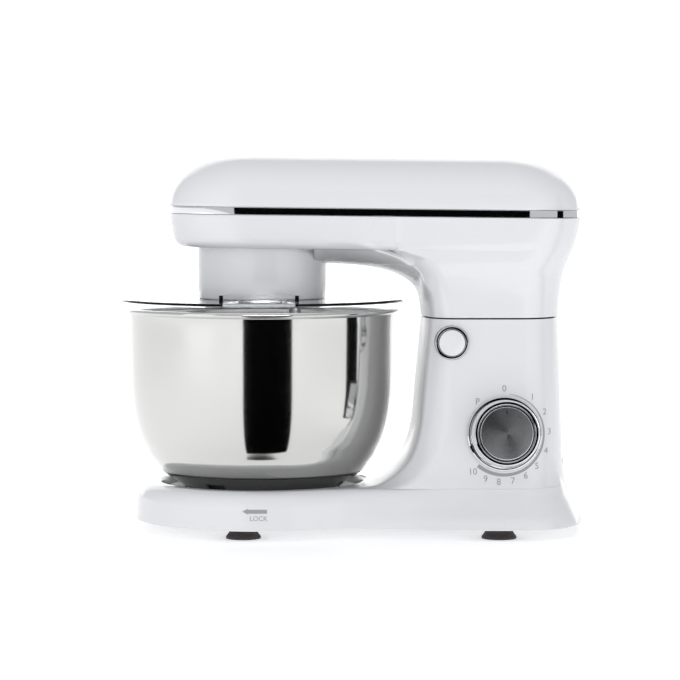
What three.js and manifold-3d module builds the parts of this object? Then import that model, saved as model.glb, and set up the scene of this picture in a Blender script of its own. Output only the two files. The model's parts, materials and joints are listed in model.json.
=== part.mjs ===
// Tilt-head stand mixer: base with a column, tilting motor head, planetary gearbox, bowl and splash guard.
// Millimetres, +Z up. The head points along -X, the speed knob faces -Y, and the feet stand on Z = 0.
// The origin is under the middle of the machine.

import * as THREE from 'three';
import { mergeVertices } from 'three/addons/utils/BufferGeometryUtils.js';
import Module from 'manifold-3d';

const wasm = await Module();
wasm.setup();

// ---------------------------------------------------------------- driving dimensions

const WALL = 3; // moulded shells
const GAP = 0.3; // between pieces that touch
const SLIDE = 0.6; // between pieces that move past each other
const FIT = 0.12; // between a shaft and what is fixed on it

// Bowl: rim, and the foot with the bayonet tabs
const bowlRimRadius = 107.6;
const bowlWall = 1;
const rimBead = 2.1;
const bowlFloorZ = 31;
const bowlFootRadius = 61.4;
const tabReach = 4.6;
const guardRadius = bowlRimRadius + rimBead + 3.3;
const guardPlate = 2;

// Base and column
const footHeight = 8;
const baseTop = 38; // top of the round end
const socketRadius = bowlFootRadius + 19.6; // recess in the base
const socketFloorZ = bowlFloorZ - 5;
const padRadius = socketRadius + 20; // round end of the base
const waistHalf = 82;
const rearHalf = 96;
const rearX = 184; // rear end of the base
const seamZ = 170; // where the head parts from the column
const seamGap = 1.2;
const columnFrontX = 56; // at the seam
const columnRearX = rearX - 19;
const columnHalf = 58;
const bowlX = columnFrontX - guardRadius - 14; // axis of the bowl, the hub and the round end of the base

// Gear train
const gearModule = 2;
const ringTeeth = 40;
const planetTeeth = 14;
const mainTeeth = 36;
const pinionTeeth = 12;
const ringRim = 5.8; // metal outside the ring gear's teeth
const mainShaftRadius = 6;
const beaterShaftRadius = 5;
const layshaftRadius = 4;
const motorShaftRadius = 4;
const motorX = columnFrontX + 41;
const statorRadius = 31;
const motorPulleyRadius = 8;
const bigPulleyRadius = 40;
const beltThickness = 2;
const beltWidth = 7;

// Involute teeth, a little shorter than standard
const ADDENDUM = 0.8 * gearModule;
const DEDENDUM = 1.15 * gearModule;
const BACKLASH = 0.14;

// Cylinder under the head, around the ring gear, and the flange of the gear case above it
const skirtWall = 3;
const skirtRadius = (gearModule * ringTeeth) / 2 + DEDENDUM + ringRim + GAP + skirtWall;
const flangeRadius = skirtRadius + 5.6;

// Head
const headFrontX = bowlX - flangeRadius - 17.5;
const headRearX = rearX - 0.4;
const headHalf = flangeRadius + 13;
const headBottomZ = seamZ + 54;
const stripZ = headBottomZ + 26.5; // lower edge of the bright band
const stripHeight = 6;
const headTopZ = stripZ + 46.5;
const headSlope = 0.011; // the head falls slightly towards the rear
const headTilt = 30; // degrees the head swings back
const pivotX = columnRearX - 17; // head hinge
const pivotZ = seamZ + 30;
const pinRadius = 4;

// Heights that hang from the head
const skirtBottomZ = headBottomZ - 39.8;
const carrierBottomZ = skirtBottomZ - 4.7;
const guardTopZ = skirtBottomZ - GAP;
const bowlRimZ = guardTopZ - 8.9;

// Controls and feet
const knobX = columnRearX - 45.5;
const knobZ = baseTop + 42.6;
const knobRadius = 28.6;
const knobHeight = 21;
const buttonX = columnFrontX + 22.7;
const buttonZ = seamZ - 18.7;
const buttonRadius = 10.2;
const buttonTravel = 4;
const stemRadius = 5;
const springRadius = 8;
const glandZ = baseTop + 12;
const glandRadius = 6;
const glandBore = 3.6;
const footX = [bowlX - 13, columnRearX - 50];
const footY = 76;
const footRadius = 13.6;

// ---------------------------------------------------------------- materials

const paint = (color, roughness, metalness) => new THREE.MeshStandardMaterial({ color, roughness, metalness });
const looks = {
  whiteGloss: paint(0xe9eaec, 0.18, 0),
  whiteMatt: paint(0xdedfe1, 0.55, 0),
  chrome: paint(0xe4e6ea, 0.06, 1),
  steel: paint(0xc4c3c0, 0.22, 1),
  machined: paint(0xb9bcc0, 0.35, 1),
  clear: paint(0xf2f6f8, 0.08, 0),
  rubber: paint(0x1a191b, 0.8, 0),
  darkPlastic: paint(0x2b2c2f, 0.5, 0),
  copper: paint(0xb46a3c, 0.4, 1),
  castMetal: paint(0x9a9c9e, 0.5, 1),
  nylon: paint(0xd8d4c6, 0.5, 0),
  board: paint(0x2d6a42, 0.5, 0),
};

// ---------------------------------------------------------------- geometry helpers

const mix = (a, b, t) => a + (b - a) * t;
const clamp01 = (t) => Math.min(1, Math.max(0, t));
const smooth = (t) => clamp01(t) ** 2 * (3 - 2 * clamp01(t));

// A smooth curve through [position, value] pairs that never overshoots them.
function profile(...pairs) {
  const n = pairs.length;
  const slope = pairs.slice(1).map(([p, v], i) => (v - pairs[i][1]) / (p - pairs[i][0]));
  const tangent = pairs.map((_, i) => {
    if (i === 0) return slope[0];
    if (i === n - 1) return slope[n - 2];
    const [a, b] = [slope[i - 1], slope[i]];
    return a * b <= 0 ? 0 : (2 * a * b) / (a + b);
  });
  return (at) => {
    if (at <= pairs[0][0]) return pairs[0][1];
    if (at >= pairs[n - 1][0]) return pairs[n - 1][1];
    const i = pairs.findIndex(([p]) => p > at) - 1;
    const span = pairs[i + 1][0] - pairs[i][0];
    const t = (at - pairs[i][0]) / span;
    const [v0, v1] = [pairs[i][1], pairs[i + 1][1]];
    const [m0, m1] = [tangent[i] * span, tangent[i + 1] * span];
    const [start, end] = [v0 * (1 + 2 * t) + m0 * t, v1 * (3 - 2 * t) + m1 * (t - 1)];
    return start * (1 - t) ** 2 + end * t * t;
  };
}

// Geometry to manifold solid, turned so that its faces point out.
function solid(geometry) {
  const bare = new THREE.BufferGeometry();
  const source = geometry.index ? geometry.toNonIndexed() : geometry;
  bare.setAttribute('position', source.getAttribute('position').clone());
  const merged = mergeVertices(bare, 1e-4);
  const p = merged.attributes.position.array;
  const t = new Uint32Array(merged.index.array);
  let volume = 0;
  for (let i = 0; i < t.length; i += 3) {
    const [a, b, c] = [t[i] * 3, t[i + 1] * 3, t[i + 2] * 3];
    volume += p[a] * (p[b + 1] * p[c + 2] - p[b + 2] * p[c + 1])
      - p[a + 1] * (p[b] * p[c + 2] - p[b + 2] * p[c])
      + p[a + 2] * (p[b] * p[c + 1] - p[b + 1] * p[c]);
  }
  if (volume < 0) t.reverse();
  return new wasm.Manifold(new wasm.Mesh({ numProp: 3, vertProperties: p, triVerts: t }));
}

function geometryOf(body) {
  const mesh = body.getMesh();
  const geometry = new THREE.BufferGeometry();
  const position = new Float32Array(mesh.numVert * 3);
  for (let i = 0; i < mesh.numVert; i++) {
    position.set(mesh.vertProperties.subarray(i * mesh.numProp, i * mesh.numProp + 3), i * 3);
  }
  geometry.setAttribute('position', new THREE.BufferAttribute(position, 3));
  geometry.setIndex(new THREE.BufferAttribute(mesh.triVerts, 1));
  geometry.computeVertexNormals();
  return geometry;
}

const join = (...list) => geometryOf(list.map(solid).reduce((a, b) => a.add(b)));
const cut = (geometry, ...tools) => geometryOf(
  tools.reduce((body, tool) => body.subtract(solid(tool)), solid(geometry)),
);
const common = (a, b) => geometryOf(solid(a).intersect(solid(b)));
const move = (geometry, x, y, z) => geometry.clone().translate(x, y, z);

// A solid of revolution about +Z from [radius, z] points.
function turned(points, segments = 32) {
  const closed = points[0][0] < 1e-6 && points[points.length - 1][0] < 1e-6 ? points : [...points, points[0]];
  const lathe = new THREE.LatheGeometry(closed.map(([r, z]) => new THREE.Vector2(r, z)), segments);
  return lathe.rotateX(Math.PI / 2);
}

const disc = (radius, z0, z1, segments = 32) => turned(
  [[0, z0], [radius, z0], [radius, z1], [0, z1]],
  segments,
);
const tube = (inner, outer, z0, z1, segments = 32) => turned(
  [[inner, z0], [outer, z0], [outer, z1], [inner, z1]],
  segments,
);
const block = (x0, x1, y0, y1, z0, z1) => new THREE.BoxGeometry(x1 - x0, y1 - y0, z1 - z0)
  .translate((x0 + x1) / 2, (y0 + y1) / 2, (z0 + z1) / 2);

// A flat outline in X and Z, extruded along Y from y0 to y1.
function sidePlate(points, y0, y1, holes = []) {
  const shape = new THREE.Shape(points.map(([x, z]) => new THREE.Vector2(x, z)));
  for (const [x, z, radius] of holes) {
    shape.holes.push(new THREE.Path().absarc(x, z, radius, 0, 2 * Math.PI, true));
  }
  const plate = new THREE.ExtrudeGeometry(shape, { depth: y1 - y0, bevelEnabled: false, curveSegments: 10 });
  return plate.rotateX(Math.PI / 2).translate(0, y1, 0);
}

// A closed skin over sections. A section is a list of stations [x, halfWidth, z] along X, mirrored about
// Y = 0, whose half-width is 0 at both ends. Every section has the same number of stations.
function loft(sections) {
  const n = sections[0].length;
  const around = sections.map((s) => [
    ...s.map(([x, y, z]) => [x, y, z]),
    ...s.slice(1, n - 1).reverse().map(([x, y, z]) => [x, -y, z]),
  ]);
  const per = around[0].length;
  const index = [];
  for (let k = 0; k + 1 < around.length; k++) {
    for (let i = 0; i < per; i++) {
      const [a, b] = [k * per + i, k * per + ((i + 1) % per)];
      index.push(a, b, b + per, a, b + per, a + per);
    }
  }
  const cap = (base, flip) => {
    const mirror = (i) => base + (i === 0 ? 0 : i === n - 1 ? n - 1 : per - i);
    const tri = (a, b, c) => index.push(...(flip ? [a, c, b] : [a, b, c]));
    for (let i = 0; i + 1 < n; i++) {
      if (i > 0) tri(base + i, mirror(i), mirror(i + 1));
      if (i + 1 < n - 1) tri(base + i, mirror(i + 1), base + i + 1);
    }
  };
  cap(0, false);
  cap((around.length - 1) * per, true);
  const geometry = new THREE.BufferGeometry();
  geometry.setAttribute('position', new THREE.Float32BufferAttribute(around.flat(2), 3));
  geometry.setIndex(index);
  return geometry;
}

// Stations bunch towards both ends, where an outline turns fastest.
const STATIONS = 18;
const LEAST_HALF = 0.4;

// A section from a half-width function of X. One station always lies at the bowl's axis.
function section(front, rear, halfWidth, height) {
  const share = clamp01((bowlX - front) / (rear - front));
  const middle = Math.round((Math.acos(1 - 2 * share) * STATIONS) / Math.PI);
  return Array.from({ length: STATIONS + 1 }, (_, i) => {
    const end = i === 0 || i === STATIONS;
    const x = i === middle && !end ? bowlX : mix(front, rear, (1 - Math.cos((Math.PI * i) / STATIONS)) / 2);
    const z = typeof height === 'function' ? height(x) : height;
    return [x, end ? 0 : Math.max(halfWidth(x), LEAST_HALF), z];
  });
}

// The same section moved inwards by a wall, and up or down by rise.
function inset(stations, wall, rise = 0) {
  const last = stations.length - 1;
  return stations.map(([x, y, z], i) => {
    if (i === 0) return [x + wall, 0, z + rise];
    if (i === last) return [x - wall, 0, z + rise];
    const [[ax, ay], [bx, by]] = [stations[i - 1], stations[i + 1]];
    const length = Math.hypot(bx - ax, by - ay) || 1;
    const [nx, ny] = [-(by - ay) / length, (bx - ax) / length];
    const low = stations[0][0] + wall;
    const high = stations[last][0] - wall;
    return [Math.min(high, Math.max(low, x - nx * wall)), Math.max(y - ny * wall, 0.2), z + rise];
  });
}

// ---------------------------------------------------------------- outlines of the casings

// Half-width of an outline whose ends are superellipses of the given lengths.
function rounded(x, front, rear, half, frontLength, rearLength, power = 2.5) {
  const arc = (u) => (1 - clamp01(u) ** power) ** (1 / power);
  if (x < front + frontLength) return half * arc((front + frontLength - x) / frontLength);
  if (x > rear - rearLength) return half * arc((x - rear + rearLength) / rearLength);
  return half;
}

// The inner face of the C: bulged up to the first crease, bevelled up to the second, then the flat side.
function throat(x, reach, firstCrease, secondCrease, creaseHalf, half) {
  if (x < firstCrease) return creaseHalf * Math.sqrt(clamp01(reach));
  const bevel = clamp01((x - firstCrease) / (secondCrease - firstCrease));
  return mix(creaseHalf, half, 1 - (1 - bevel) ** 1.6);
}

const flareFrom = columnRearX + 6;
const flare = (share) => mix(flareFrom, rearX, share);
const baseRear = profile(
  [footHeight, rearX], [footHeight + 6, flare(0.86)], [baseTop - 11, flare(0.4)], [baseTop - 5, flare(0.14)],
  [baseTop + 8, columnRearX + 4.8], [baseTop + 42, columnRearX + 3], [seamZ, columnRearX],
);
const flareSide = (share) => mix(columnHalf + 10, rearHalf, share);
const baseHalf = profile(
  [footHeight, rearHalf], [footHeight + 6, flareSide(0.9)], [baseTop - 12, flareSide(0.54)],
  [baseTop, flareSide(0.25)], [baseTop + 12, flareSide(0.09)], [baseTop + 42, columnHalf + 8.6],
  [seamZ, columnHalf],
);
const shoulder = profile(
  [footHeight, 0], [baseTop - 11, 1.4], [baseTop - 5, 3.6], [baseTop - 1.5, 7], [baseTop, 11.5],
);
const rearEnd = profile([footHeight, 60], [baseTop, 46], [seamZ, 40]);
const columnFront = profile(
  [baseTop, columnFrontX - 52], [baseTop + 2, columnFrontX - 42], [baseTop + 6, columnFrontX - 33],
  [baseTop + 11, columnFrontX - 26], [baseTop + 17, columnFrontX - 20], [baseTop + 24, columnFrontX - 15],
  [baseTop + 34, columnFrontX - 11], [baseTop + 50, columnFrontX - 7.5], [baseTop + 78, columnFrontX - 5],
  [seamZ, columnFrontX],
);
const columnCrease = profile(
  [baseTop, columnFrontX - 16], [baseTop + 6, columnFrontX - 3], [baseTop + 17, columnFrontX + 10],
  [baseTop + 35, columnFrontX + 20], [baseTop + 54, columnFrontX + 23.5], [seamZ, columnFrontX + 25],
);
const BULGE = 7; // how far the inner face bows out between its creases
const BEVEL = 14; // how far the bevel narrows it on each side

function padSection(z) {
  const drop = shoulder(z);
  const radius = padRadius - drop;
  const waist = (x) => mix(waistHalf - drop, baseHalf(z), smooth((x - bowlX - 51) / 110));
  const half = (x) => {
    const round = Math.sqrt(Math.max(0, radius ** 2 - (x - bowlX) ** 2));
    const body = x < bowlX + radius * 0.5 ? 0 : rounded(x, bowlX, baseRear(z), waist(x), 1, rearEnd(z), 2.6);
    return round + Math.log1p(Math.exp((body - round) / 3)) * 3 * (x < bowlX ? 0 : 1);
  };
  return section(bowlX - radius, baseRear(z), half, z);
}

function columnSection(z) {
  const [front, rear, side] = [columnFront(z), baseRear(z), baseHalf(z)];
  const half = (x) => Math.min(
    throat(x, (x - front) / BULGE, front + BULGE, columnCrease(z), side - BEVEL, side),
    rounded(x, front, rear, side, 1, rearEnd(z)),
  );
  return section(front, rear, half, z);
}

const headFall = (z) => headSlope * smooth((z - pivotZ) / (headBottomZ - pivotZ));
const sheared = (z) => (x) => z - headFall(z) * (x - bowlX - 60);
const archTop = headBottomZ - 12.4; // underside of the arm on the centre line
const neckRear = profile(
  [seamZ, columnRearX], [seamZ + 12, columnRearX + 0.8], [pivotZ, columnRearX + 3],
  [pivotZ + 14, columnRearX + 7],
  [headBottomZ + 2, columnRearX + 12], [stripZ - 12, headRearX - 3], [stripZ, headRearX - 0.4],
);
const neckHalf = profile(
  [seamZ, columnHalf], [pivotZ - 14, columnHalf + 0.8], [pivotZ + 2, columnHalf + 4],
  [headBottomZ - 8, columnHalf + 8.5], [headBottomZ + 6, headHalf - 1.6], [stripZ, headHalf],
);
const archFrontX = columnFrontX - 65;
const neckFront = profile(
  [seamZ, columnFrontX], [seamZ + 17, columnFrontX - 2.4], [seamZ + 25, columnFrontX - 7],
  [seamZ + 32, columnFrontX - 16.8], [seamZ + 36, columnFrontX - 26.4], [seamZ + 40, columnFrontX - 46],
  [archTop, archFrontX],
);
const firstCrease = profile(
  [seamZ, columnFrontX + BULGE], [seamZ + 33, columnFrontX], [archTop, columnFrontX - 6],
  [headBottomZ - 7, columnFrontX - 10.5], [headBottomZ, columnFrontX - 26],
);
const secondCrease = profile(
  [seamZ, columnFrontX + 25], [seamZ + 23, columnFrontX + 20.6], [seamZ + 36, columnFrontX + 15.4],
  [headBottomZ - 7, columnFrontX + 7.7], [headBottomZ - 2.5, columnFrontX - 6.6],
  [headBottomZ, columnFrontX - 16],
);
const bellyFront = bowlX + 45; // the belly ends inside the skirt

function neckSection(z) {
  const belly = z > archTop;
  const front = belly ? bellyFront : neckFront(z);
  const [rear, side] = [neckRear(z), neckHalf(z)];
  const crease = firstCrease(z);
  const start = belly ? archFrontX : front;
  const rise = belly ? (z - archTop) / (headBottomZ - archTop) : 0;
  const reach = (x) => mix(clamp01((x - start) / (crease - start)), 1, rise);
  const half = (x) => Math.min(
    throat(x, reach(x), crease, secondCrease(z), side - BEVEL + 2, side),
    rounded(x, front, rear, side, 1, 42),
  );
  return section(front, rear, half, sheared(z));
}

const NOSE_TAPER = 0.06; // the arm narrows towards its nose

// Outline of the head's arm, taken in by the given amounts at its front, rear and sides.
function armSection(z, frontIn, rearIn, sideIn) {
  const [front, rear] = [headFrontX + frontIn, Math.min(neckRear(z), headRearX) - rearIn];
  const half = headHalf - sideIn;
  const taper = (x) => 1 - NOSE_TAPER * clamp01((rear - x) / (rear - front));
  const ends = half / headHalf;
  const halfWidth = (x) => taper(x) * rounded(x, front, rear, half, 66 * ends, 60 * ends, 2.35);
  return section(front, rear, halfWidth, sheared(z));
}

// ---------------------------------------------------------------- base

const root = new THREE.Group();

function add(name, geometry, material, parent = root) {
  const mesh = new THREE.Mesh(geometry, material);
  mesh.name = name;
  parent.add(mesh);
  return mesh;
}

const knobDirection = new THREE.Vector3(0.045, -1, 0.097).normalize(); // square to the sloping side
const dialSeatY = -(baseHalf(knobZ) + 0.2);
const buttonFaceY = -(baseHalf(buttonZ) + 4.5);
const towardsKnob = new THREE.Quaternion().setFromUnitVectors(new THREE.Vector3(0, 0, 1), knobDirection);

function sideCylinder(radius, y0, y1, x, z, segments = 24) {
  return disc(radius, -y1, -y0, segments).rotateX(Math.PI / 2).translate(x, 0, z);
}

// What the rear of the neck sweeps out below the seam as the head tilts.
function neckSwing() {
  const seam = seamZ + seamGap / 2;
  const neck = loft([inset(neckSection(seam), -0.5, -0.4), inset(neckSection(seam + 20), -0.5, 0)]);
  const rearOnly = block(pivotX - 6, rearX, -rearHalf, rearHalf, seamZ - 10, seamZ + 20);
  const swept = Array.from({ length: 10 }, (_, i) => common(neck, rearOnly)
    .translate(-pivotX, 0, -pivotZ)
    .rotateY(THREE.MathUtils.degToRad(headTilt * ((i + 1) / 10)))
    .translate(pivotX, 0, pivotZ));
  return join(...swept);
}

function baseHousing() {
  const padLevels = [footHeight, 12, 20, baseTop - 10, baseTop - 5.5, baseTop - 2.5, baseTop - 0.8, baseTop];
  const columnLevels = [0.3, 2, 5, 10, 17, 26, 42, 80].map((rise) => baseTop + rise);
  const topZ = seamZ - seamGap / 2;
  const outer = loft([...padLevels.map(padSection), ...[...columnLevels, topZ].map(columnSection)]);
  const hollow = loft([
    inset(padSection(footHeight), WALL, -2),
    ...[12, baseTop - 12, baseTop - 5].map((z) => inset(padSection(z), WALL, -WALL + (z < 20 ? WALL : 0))),
    inset(padSection(baseTop), WALL, -WALL),
    ...[0.5, 8, 18, 34, 80].map((rise) => inset(columnSection(baseTop + rise), WALL, -2)),
    inset(columnSection(topZ), WALL, 2),
  ]);
  const socketWall = disc(socketRadius + WALL + 1, socketFloorZ - WALL, baseTop + 20, 36)
    .translate(bowlX, 0, 0);
  const socket = turned([
    [0, socketFloorZ], [socketRadius - 2, socketFloorZ], [socketRadius, baseTop - 1],
    [socketRadius + 2, baseTop + 0.2], [socketRadius + 2, baseTop + 20], [0, baseTop + 20],
  ], 36).translate(bowlX, 0, 0);
  const inside = cut(hollow, socketWall);
  const dialHole = disc(7, -30, 12, 20);
  const dialSeat = disc(knobRadius + 1, 0.2, 6, 40);
  for (const tool of [dialHole, dialSeat]) {
    tool.applyQuaternion(towardsKnob);
    tool.translate(knobX, dialSeatY, knobZ);
  }
  const glandHole = disc(glandRadius + GAP, -20, 40, 20).rotateY(Math.PI / 2)
    .translate(baseRear(glandZ) - 5, 0, glandZ);
  return cut(
    outer, inside, socket, dialHole, dialSeat, glandHole, neckSwing(),
    sideCylinder(buttonRadius + 3.2, dialSeatY - 20, -baseHalf(buttonZ) + 14, buttonX, buttonZ, 28),
  );
}
add('base_housing', baseHousing(), looks.whiteGloss);

const plateTop = footHeight + 2.6;
const footStem = 5.1;
function basePlate() {
  const inner = (z) => inset(padSection(plateTop + 1), WALL + GAP, z - plateTop - 1);
  const hole = disc(footStem + GAP, 0, plateTop + 10, 20);
  const holes = footX.flatMap((x) => [-footY, footY].map((y) => move(hole, x, y, 0)));
  const slots = [-24, -12, 0, 12, 24].map((y) => block(
    columnFrontX - 1, columnFrontX + 29, y - 2, y + 2, 0, plateTop + 10,
  ));
  return cut(loft([inner(footHeight + 0.4), inner(plateTop)]), ...holes, ...slots);
}
add('base_plate', basePlate(), looks.whiteMatt);

// Suction feet: a stem through the plate, a flared cup below it.
const foot = turned([
  [0, 2.4], [footRadius - 3.4, 1.6], [footRadius - 3.4, 0], [footRadius, 0], [footRadius, 1.4],
  [footRadius - 2.4, 5], [footRadius - 3.4, footHeight], [footStem, footHeight], [footStem, plateTop + GAP],
  [footStem + 2.4, plateTop + GAP], [footStem + 1.1, plateTop + 3], [0, plateTop + 3],
], 16);
for (const [row, x] of [['front', footX[0]], ['rear', footX[1]]]) {
  add(`foot_${row}_left`, move(foot, x, -footY, 0), looks.rubber);
  add(`foot_${row}_right`, move(foot, x, footY, 0), looks.rubber);
}

// Bayonet socket lying in the recess: a ring with three notches that the bowl's tabs drop through.
const tabAngles = [90, 210, 330];
const turnedTo = (geometry, degrees) => geometry.clone().rotateZ(THREE.MathUtils.degToRad(degrees));
const socketRingTop = socketFloorZ + 6;
const bowlTwist = 25; // degrees from the notches to the locked place
function socketRing() {
  const [lip, under, outer] = [bowlFootRadius + 1.1, bowlFootRadius + tabReach + 1, socketRadius - 2.6];
  const ring = turned([
    [under, socketFloorZ + GAP], [outer, socketFloorZ + GAP], [outer, socketRingTop], [lip, socketRingTop],
    [lip, socketRingTop - 2], [under, socketRingTop - 2],
  ], 36);
  const notch = block(lip - 7, under + 0.5, -9, 9, socketRingTop - 3, socketRingTop + 5);
  return cut(ring, ...tabAngles.map((a) => turnedTo(notch, a + bowlTwist))).translate(bowlX, 0, 0);
}
add('bowl_socket', socketRing(), looks.whiteMatt);

// Steel arm that stands on the base plate and carries the hinge pin.
const armHalf = 8;
const hingeArm = sidePlate([
  [pivotX - 54, plateTop + 6], [pivotX - 54, plateTop + GAP], [pivotX + 4, plateTop + GAP],
  [pivotX + 4, plateTop + 6], [pivotX - 8, plateTop + 20], [pivotX - 10, pivotZ - 26],
  [pivotX + 6, pivotZ - 12], [pivotX + 11, pivotZ - 4], [pivotX + 11, pivotZ + 4], [pivotX + 5, pivotZ + 11],
  [pivotX - 5, pivotZ + 11], [pivotX - 12, pivotZ + 4], [pivotX - 36, pivotZ - 36],
  [pivotX - 42, plateTop + 20],
], -armHalf, armHalf, [[pivotX, pivotZ, pinRadius + 0.05]]);
add('hinge_arm', hingeArm, looks.castMetal);

const lugInner = armHalf + SLIDE;
const lugOuter = lugInner + 7;
const pinLength = lugOuter + 3;
add('hinge_pin', sideCylinder(pinRadius, -pinLength, pinLength, pivotX, pivotZ, 20), looks.machined);

// Spring latch for the head, worked by the button.
const latchZ = buttonZ - 4;
const latchY = -(columnHalf - 26);
add('latch_bracket', cut(
  block(buttonX - 12.7, buttonX + 13.3, latchY, latchY + 10, latchZ - 22, latchZ + 13),
  block(buttonX - 8.7, buttonX + 9.3, latchY - 1, latchY + 5, latchZ - 18, latchZ + 10),
  block(buttonX - 6.1, buttonX + 6.1, latchY - 2, latchY + 12, latchZ - 3.4, latchZ + 10),
), looks.castMetal);

// ---------------------------------------------------------------- controls on the column

const stemEndY = latchY - 2.5;
add('release_button', join(
  sideCylinder(buttonRadius, buttonFaceY, buttonFaceY + 9, buttonX, buttonZ, 24),
  sideCylinder(stemRadius, buttonFaceY + 8, stemEndY, buttonX, buttonZ, 16),
), looks.whiteGloss);
const bezelBack = -baseHalf(buttonZ) + 10;
const bezel = turned([[buttonRadius + 0.4, 0], [buttonRadius + 2.9, 0], [buttonRadius + 2.9, 10.5],
  [buttonRadius + 2.2, 12.2], [buttonRadius + 1, 12.2], [buttonRadius + 0.4, 11]], 24)
  .rotateX(Math.PI / 2).translate(buttonX, bezelBack, buttonZ);
add('button_bezel', bezel, looks.chrome);
const springStart = buttonFaceY + 9 + buttonTravel + GAP;
const guideY = stemEndY - 5.1;
add('button_spring', tube(stemRadius + 0.6, springRadius, 0, guideY - 0.4 - springStart, 20)
  .rotateX(-Math.PI / 2).translate(buttonX, springStart, buttonZ), looks.machined);
add('button_guide', tube(stemRadius + 0.5, 9, 0, 3, 20)
  .rotateX(-Math.PI / 2).translate(buttonX, guideY, buttonZ), looks.darkPlastic);

const knobGroup = new THREE.Group();
knobGroup.position.set(knobX, dialSeatY, knobZ);
knobGroup.quaternion.copy(towardsKnob);
root.add(knobGroup);
const knobCup = knobRadius - 6.7; // recess in the end of the knob, for its face
const knobShaftRadius = 3;
add('dial_bezel', turned([
  [knobRadius - 4, 0.6], [knobRadius + 0.6, 0.6], [knobRadius + 0.6, 1.6], [knobRadius, 2.6],
  [knobRadius - 4, 2.6],
], 32), looks.chrome, knobGroup);
add('speed_knob', turned([
  [0, 3.2], [knobRadius - 1.2, 3.2], [knobRadius - 1.6, 5], [knobRadius - 3, knobHeight - 2],
  [knobRadius - 4, knobHeight], [knobCup + 0.5, knobHeight], [knobCup, knobHeight - 2.6],
  [0, knobHeight - 2.6],
], 32), looks.chrome, knobGroup);
add('knob_face', turned([
  [0, knobHeight - 2.2], [knobCup - 1.1, knobHeight - 2.2], [knobCup - 1.1, knobHeight - 0.8],
  [knobCup - 1.9, knobHeight - 0.1], [0, knobHeight - 0.1],
], 32), looks.machined, knobGroup);
add('knob_shaft', disc(knobShaftRadius, -14, 2.9, 16), looks.machined, knobGroup);
const switchBody = cut(disc(13, -22, -8, 8), disc(knobShaftRadius + GAP, -15, 0, 16));
add('speed_switch', switchBody, looks.darkPlastic, knobGroup);

const boardY = latchY - 2.2;
const board = block(knobX - 15.5, knobX + 22.5, boardY - 1.8, boardY, knobZ + 17.4, seamZ - 20);
add('control_board', board, looks.board);
add('cord_gland', tube(glandBore, glandRadius, -WALL - 7, 0.3, 20).rotateY(Math.PI / 2)
  .translate(baseRear(glandZ), 0, glandZ), looks.darkPlastic);

// ---------------------------------------------------------------- head shells

const head = new THREE.Group();
head.name = 'head';
root.add(head);

const frontLean = (z) => 4 * clamp01((stripZ + 3 - z) / 22); // the nose leans out towards the bright band
const CORNER = 9;
const corner = [0, 30, 60, 90].map((angle) => THREE.MathUtils.degToRad(angle));

function armSolid(wall, floorZ, topZ) {
  const levels = corner.map((a) => [floorZ + CORNER * (1 - Math.cos(a)), CORNER * (1 - Math.sin(a)) + wall]);
  return loft([
    ...levels.map(([z, back]) => armSection(z, back + frontLean(z), wall, back)),
    armSection((floorZ + CORNER + topZ) / 2, frontLean((floorZ + CORNER + topZ) / 2) + wall, wall, wall),
    armSection(topZ, frontLean(topZ) + wall, wall, wall),
  ]);
}

function neckSolid(wall, bottomZ, topZ) {
  const levels = [seamZ + 15, seamZ + 25, seamZ + 32, seamZ + 37, archTop + 0.5, archTop + 4, archTop + 8,
    headBottomZ, headBottomZ + 6];
  const sections = [bottomZ, ...levels, topZ].map((z) => [z, neckSection(z)]);
  const lift = (z) => (z > archTop && z < headBottomZ ? wall : 0);
  return loft(sections.map(([z, stations]) => (wall > 0 ? inset(stations, wall, lift(z)) : stations)));
}

function headHousing() {
  const topZ = stripZ - GAP / 2;
  const skirt = turned([
    [0, skirtBottomZ], [skirtRadius - 0.9, skirtBottomZ], [skirtRadius - 0.5, skirtBottomZ + 0.5],
    [skirtRadius, headBottomZ + 4], [0, headBottomZ + 4],
  ], 40).translate(bowlX, 0, 0);
  const bore = disc(skirtRadius - skirtWall, skirtBottomZ - 5, headBottomZ + 12, 40).translate(bowlX, 0, 0);
  const outer = join(armSolid(0, headBottomZ, topZ), neckSolid(0, seamZ + seamGap / 2, topZ), skirt);
  const keep = disc(skirtRadius, skirtBottomZ - 5, headBottomZ + WALL + 1, 40).translate(bowlX, 0, 0);
  const neckHollow = cut(neckSolid(WALL, seamZ - 4, topZ + 4), keep);
  return cut(outer, armSolid(WALL, headBottomZ + WALL, topZ + 4), neckHollow, bore);
}
add('head_housing', headHousing(), looks.whiteGloss, head);

function bandSolid(inside, z0, z1) {
  return loft([z0, z1].map((z) => armSection(z, frontLean(z) + inside, inside, inside)));
}
add('trim_band', cut(
  bandSolid(0, stripZ + GAP / 2, stripZ + stripHeight - GAP / 2),
  bandSolid(WALL, stripZ - 2, stripZ + stripHeight + 2),
), looks.chrome, head);

const coverBottomZ = stripZ + stripHeight + GAP / 2;
const coverSteps = [0, 18, 36, 53, 72, 90].map((angle) => THREE.MathUtils.degToRad(angle));
function coverSolid(wall, drop) {
  return loft([
    ...(drop > 0 ? [armSection(coverBottomZ - 3, wall, wall, wall)] : []),
    ...coverSteps.map((a) => armSection(
      coverBottomZ + (headTopZ - wall - coverBottomZ) * Math.sin(a),
      50 * (1 - Math.cos(a)) + wall,
      50 * (1 - Math.cos(a)) + wall,
      45 * (1 - Math.cos(a)) + wall,
    )),
  ]);
}
add('head_cover', cut(coverSolid(0, 0), coverSolid(WALL, 3)), looks.whiteGloss, head);

// ---------------------------------------------------------------- gears

const PRESSURE = THREE.MathUtils.degToRad(20);
const involute = (angle) => Math.tan(angle) - angle;

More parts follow.
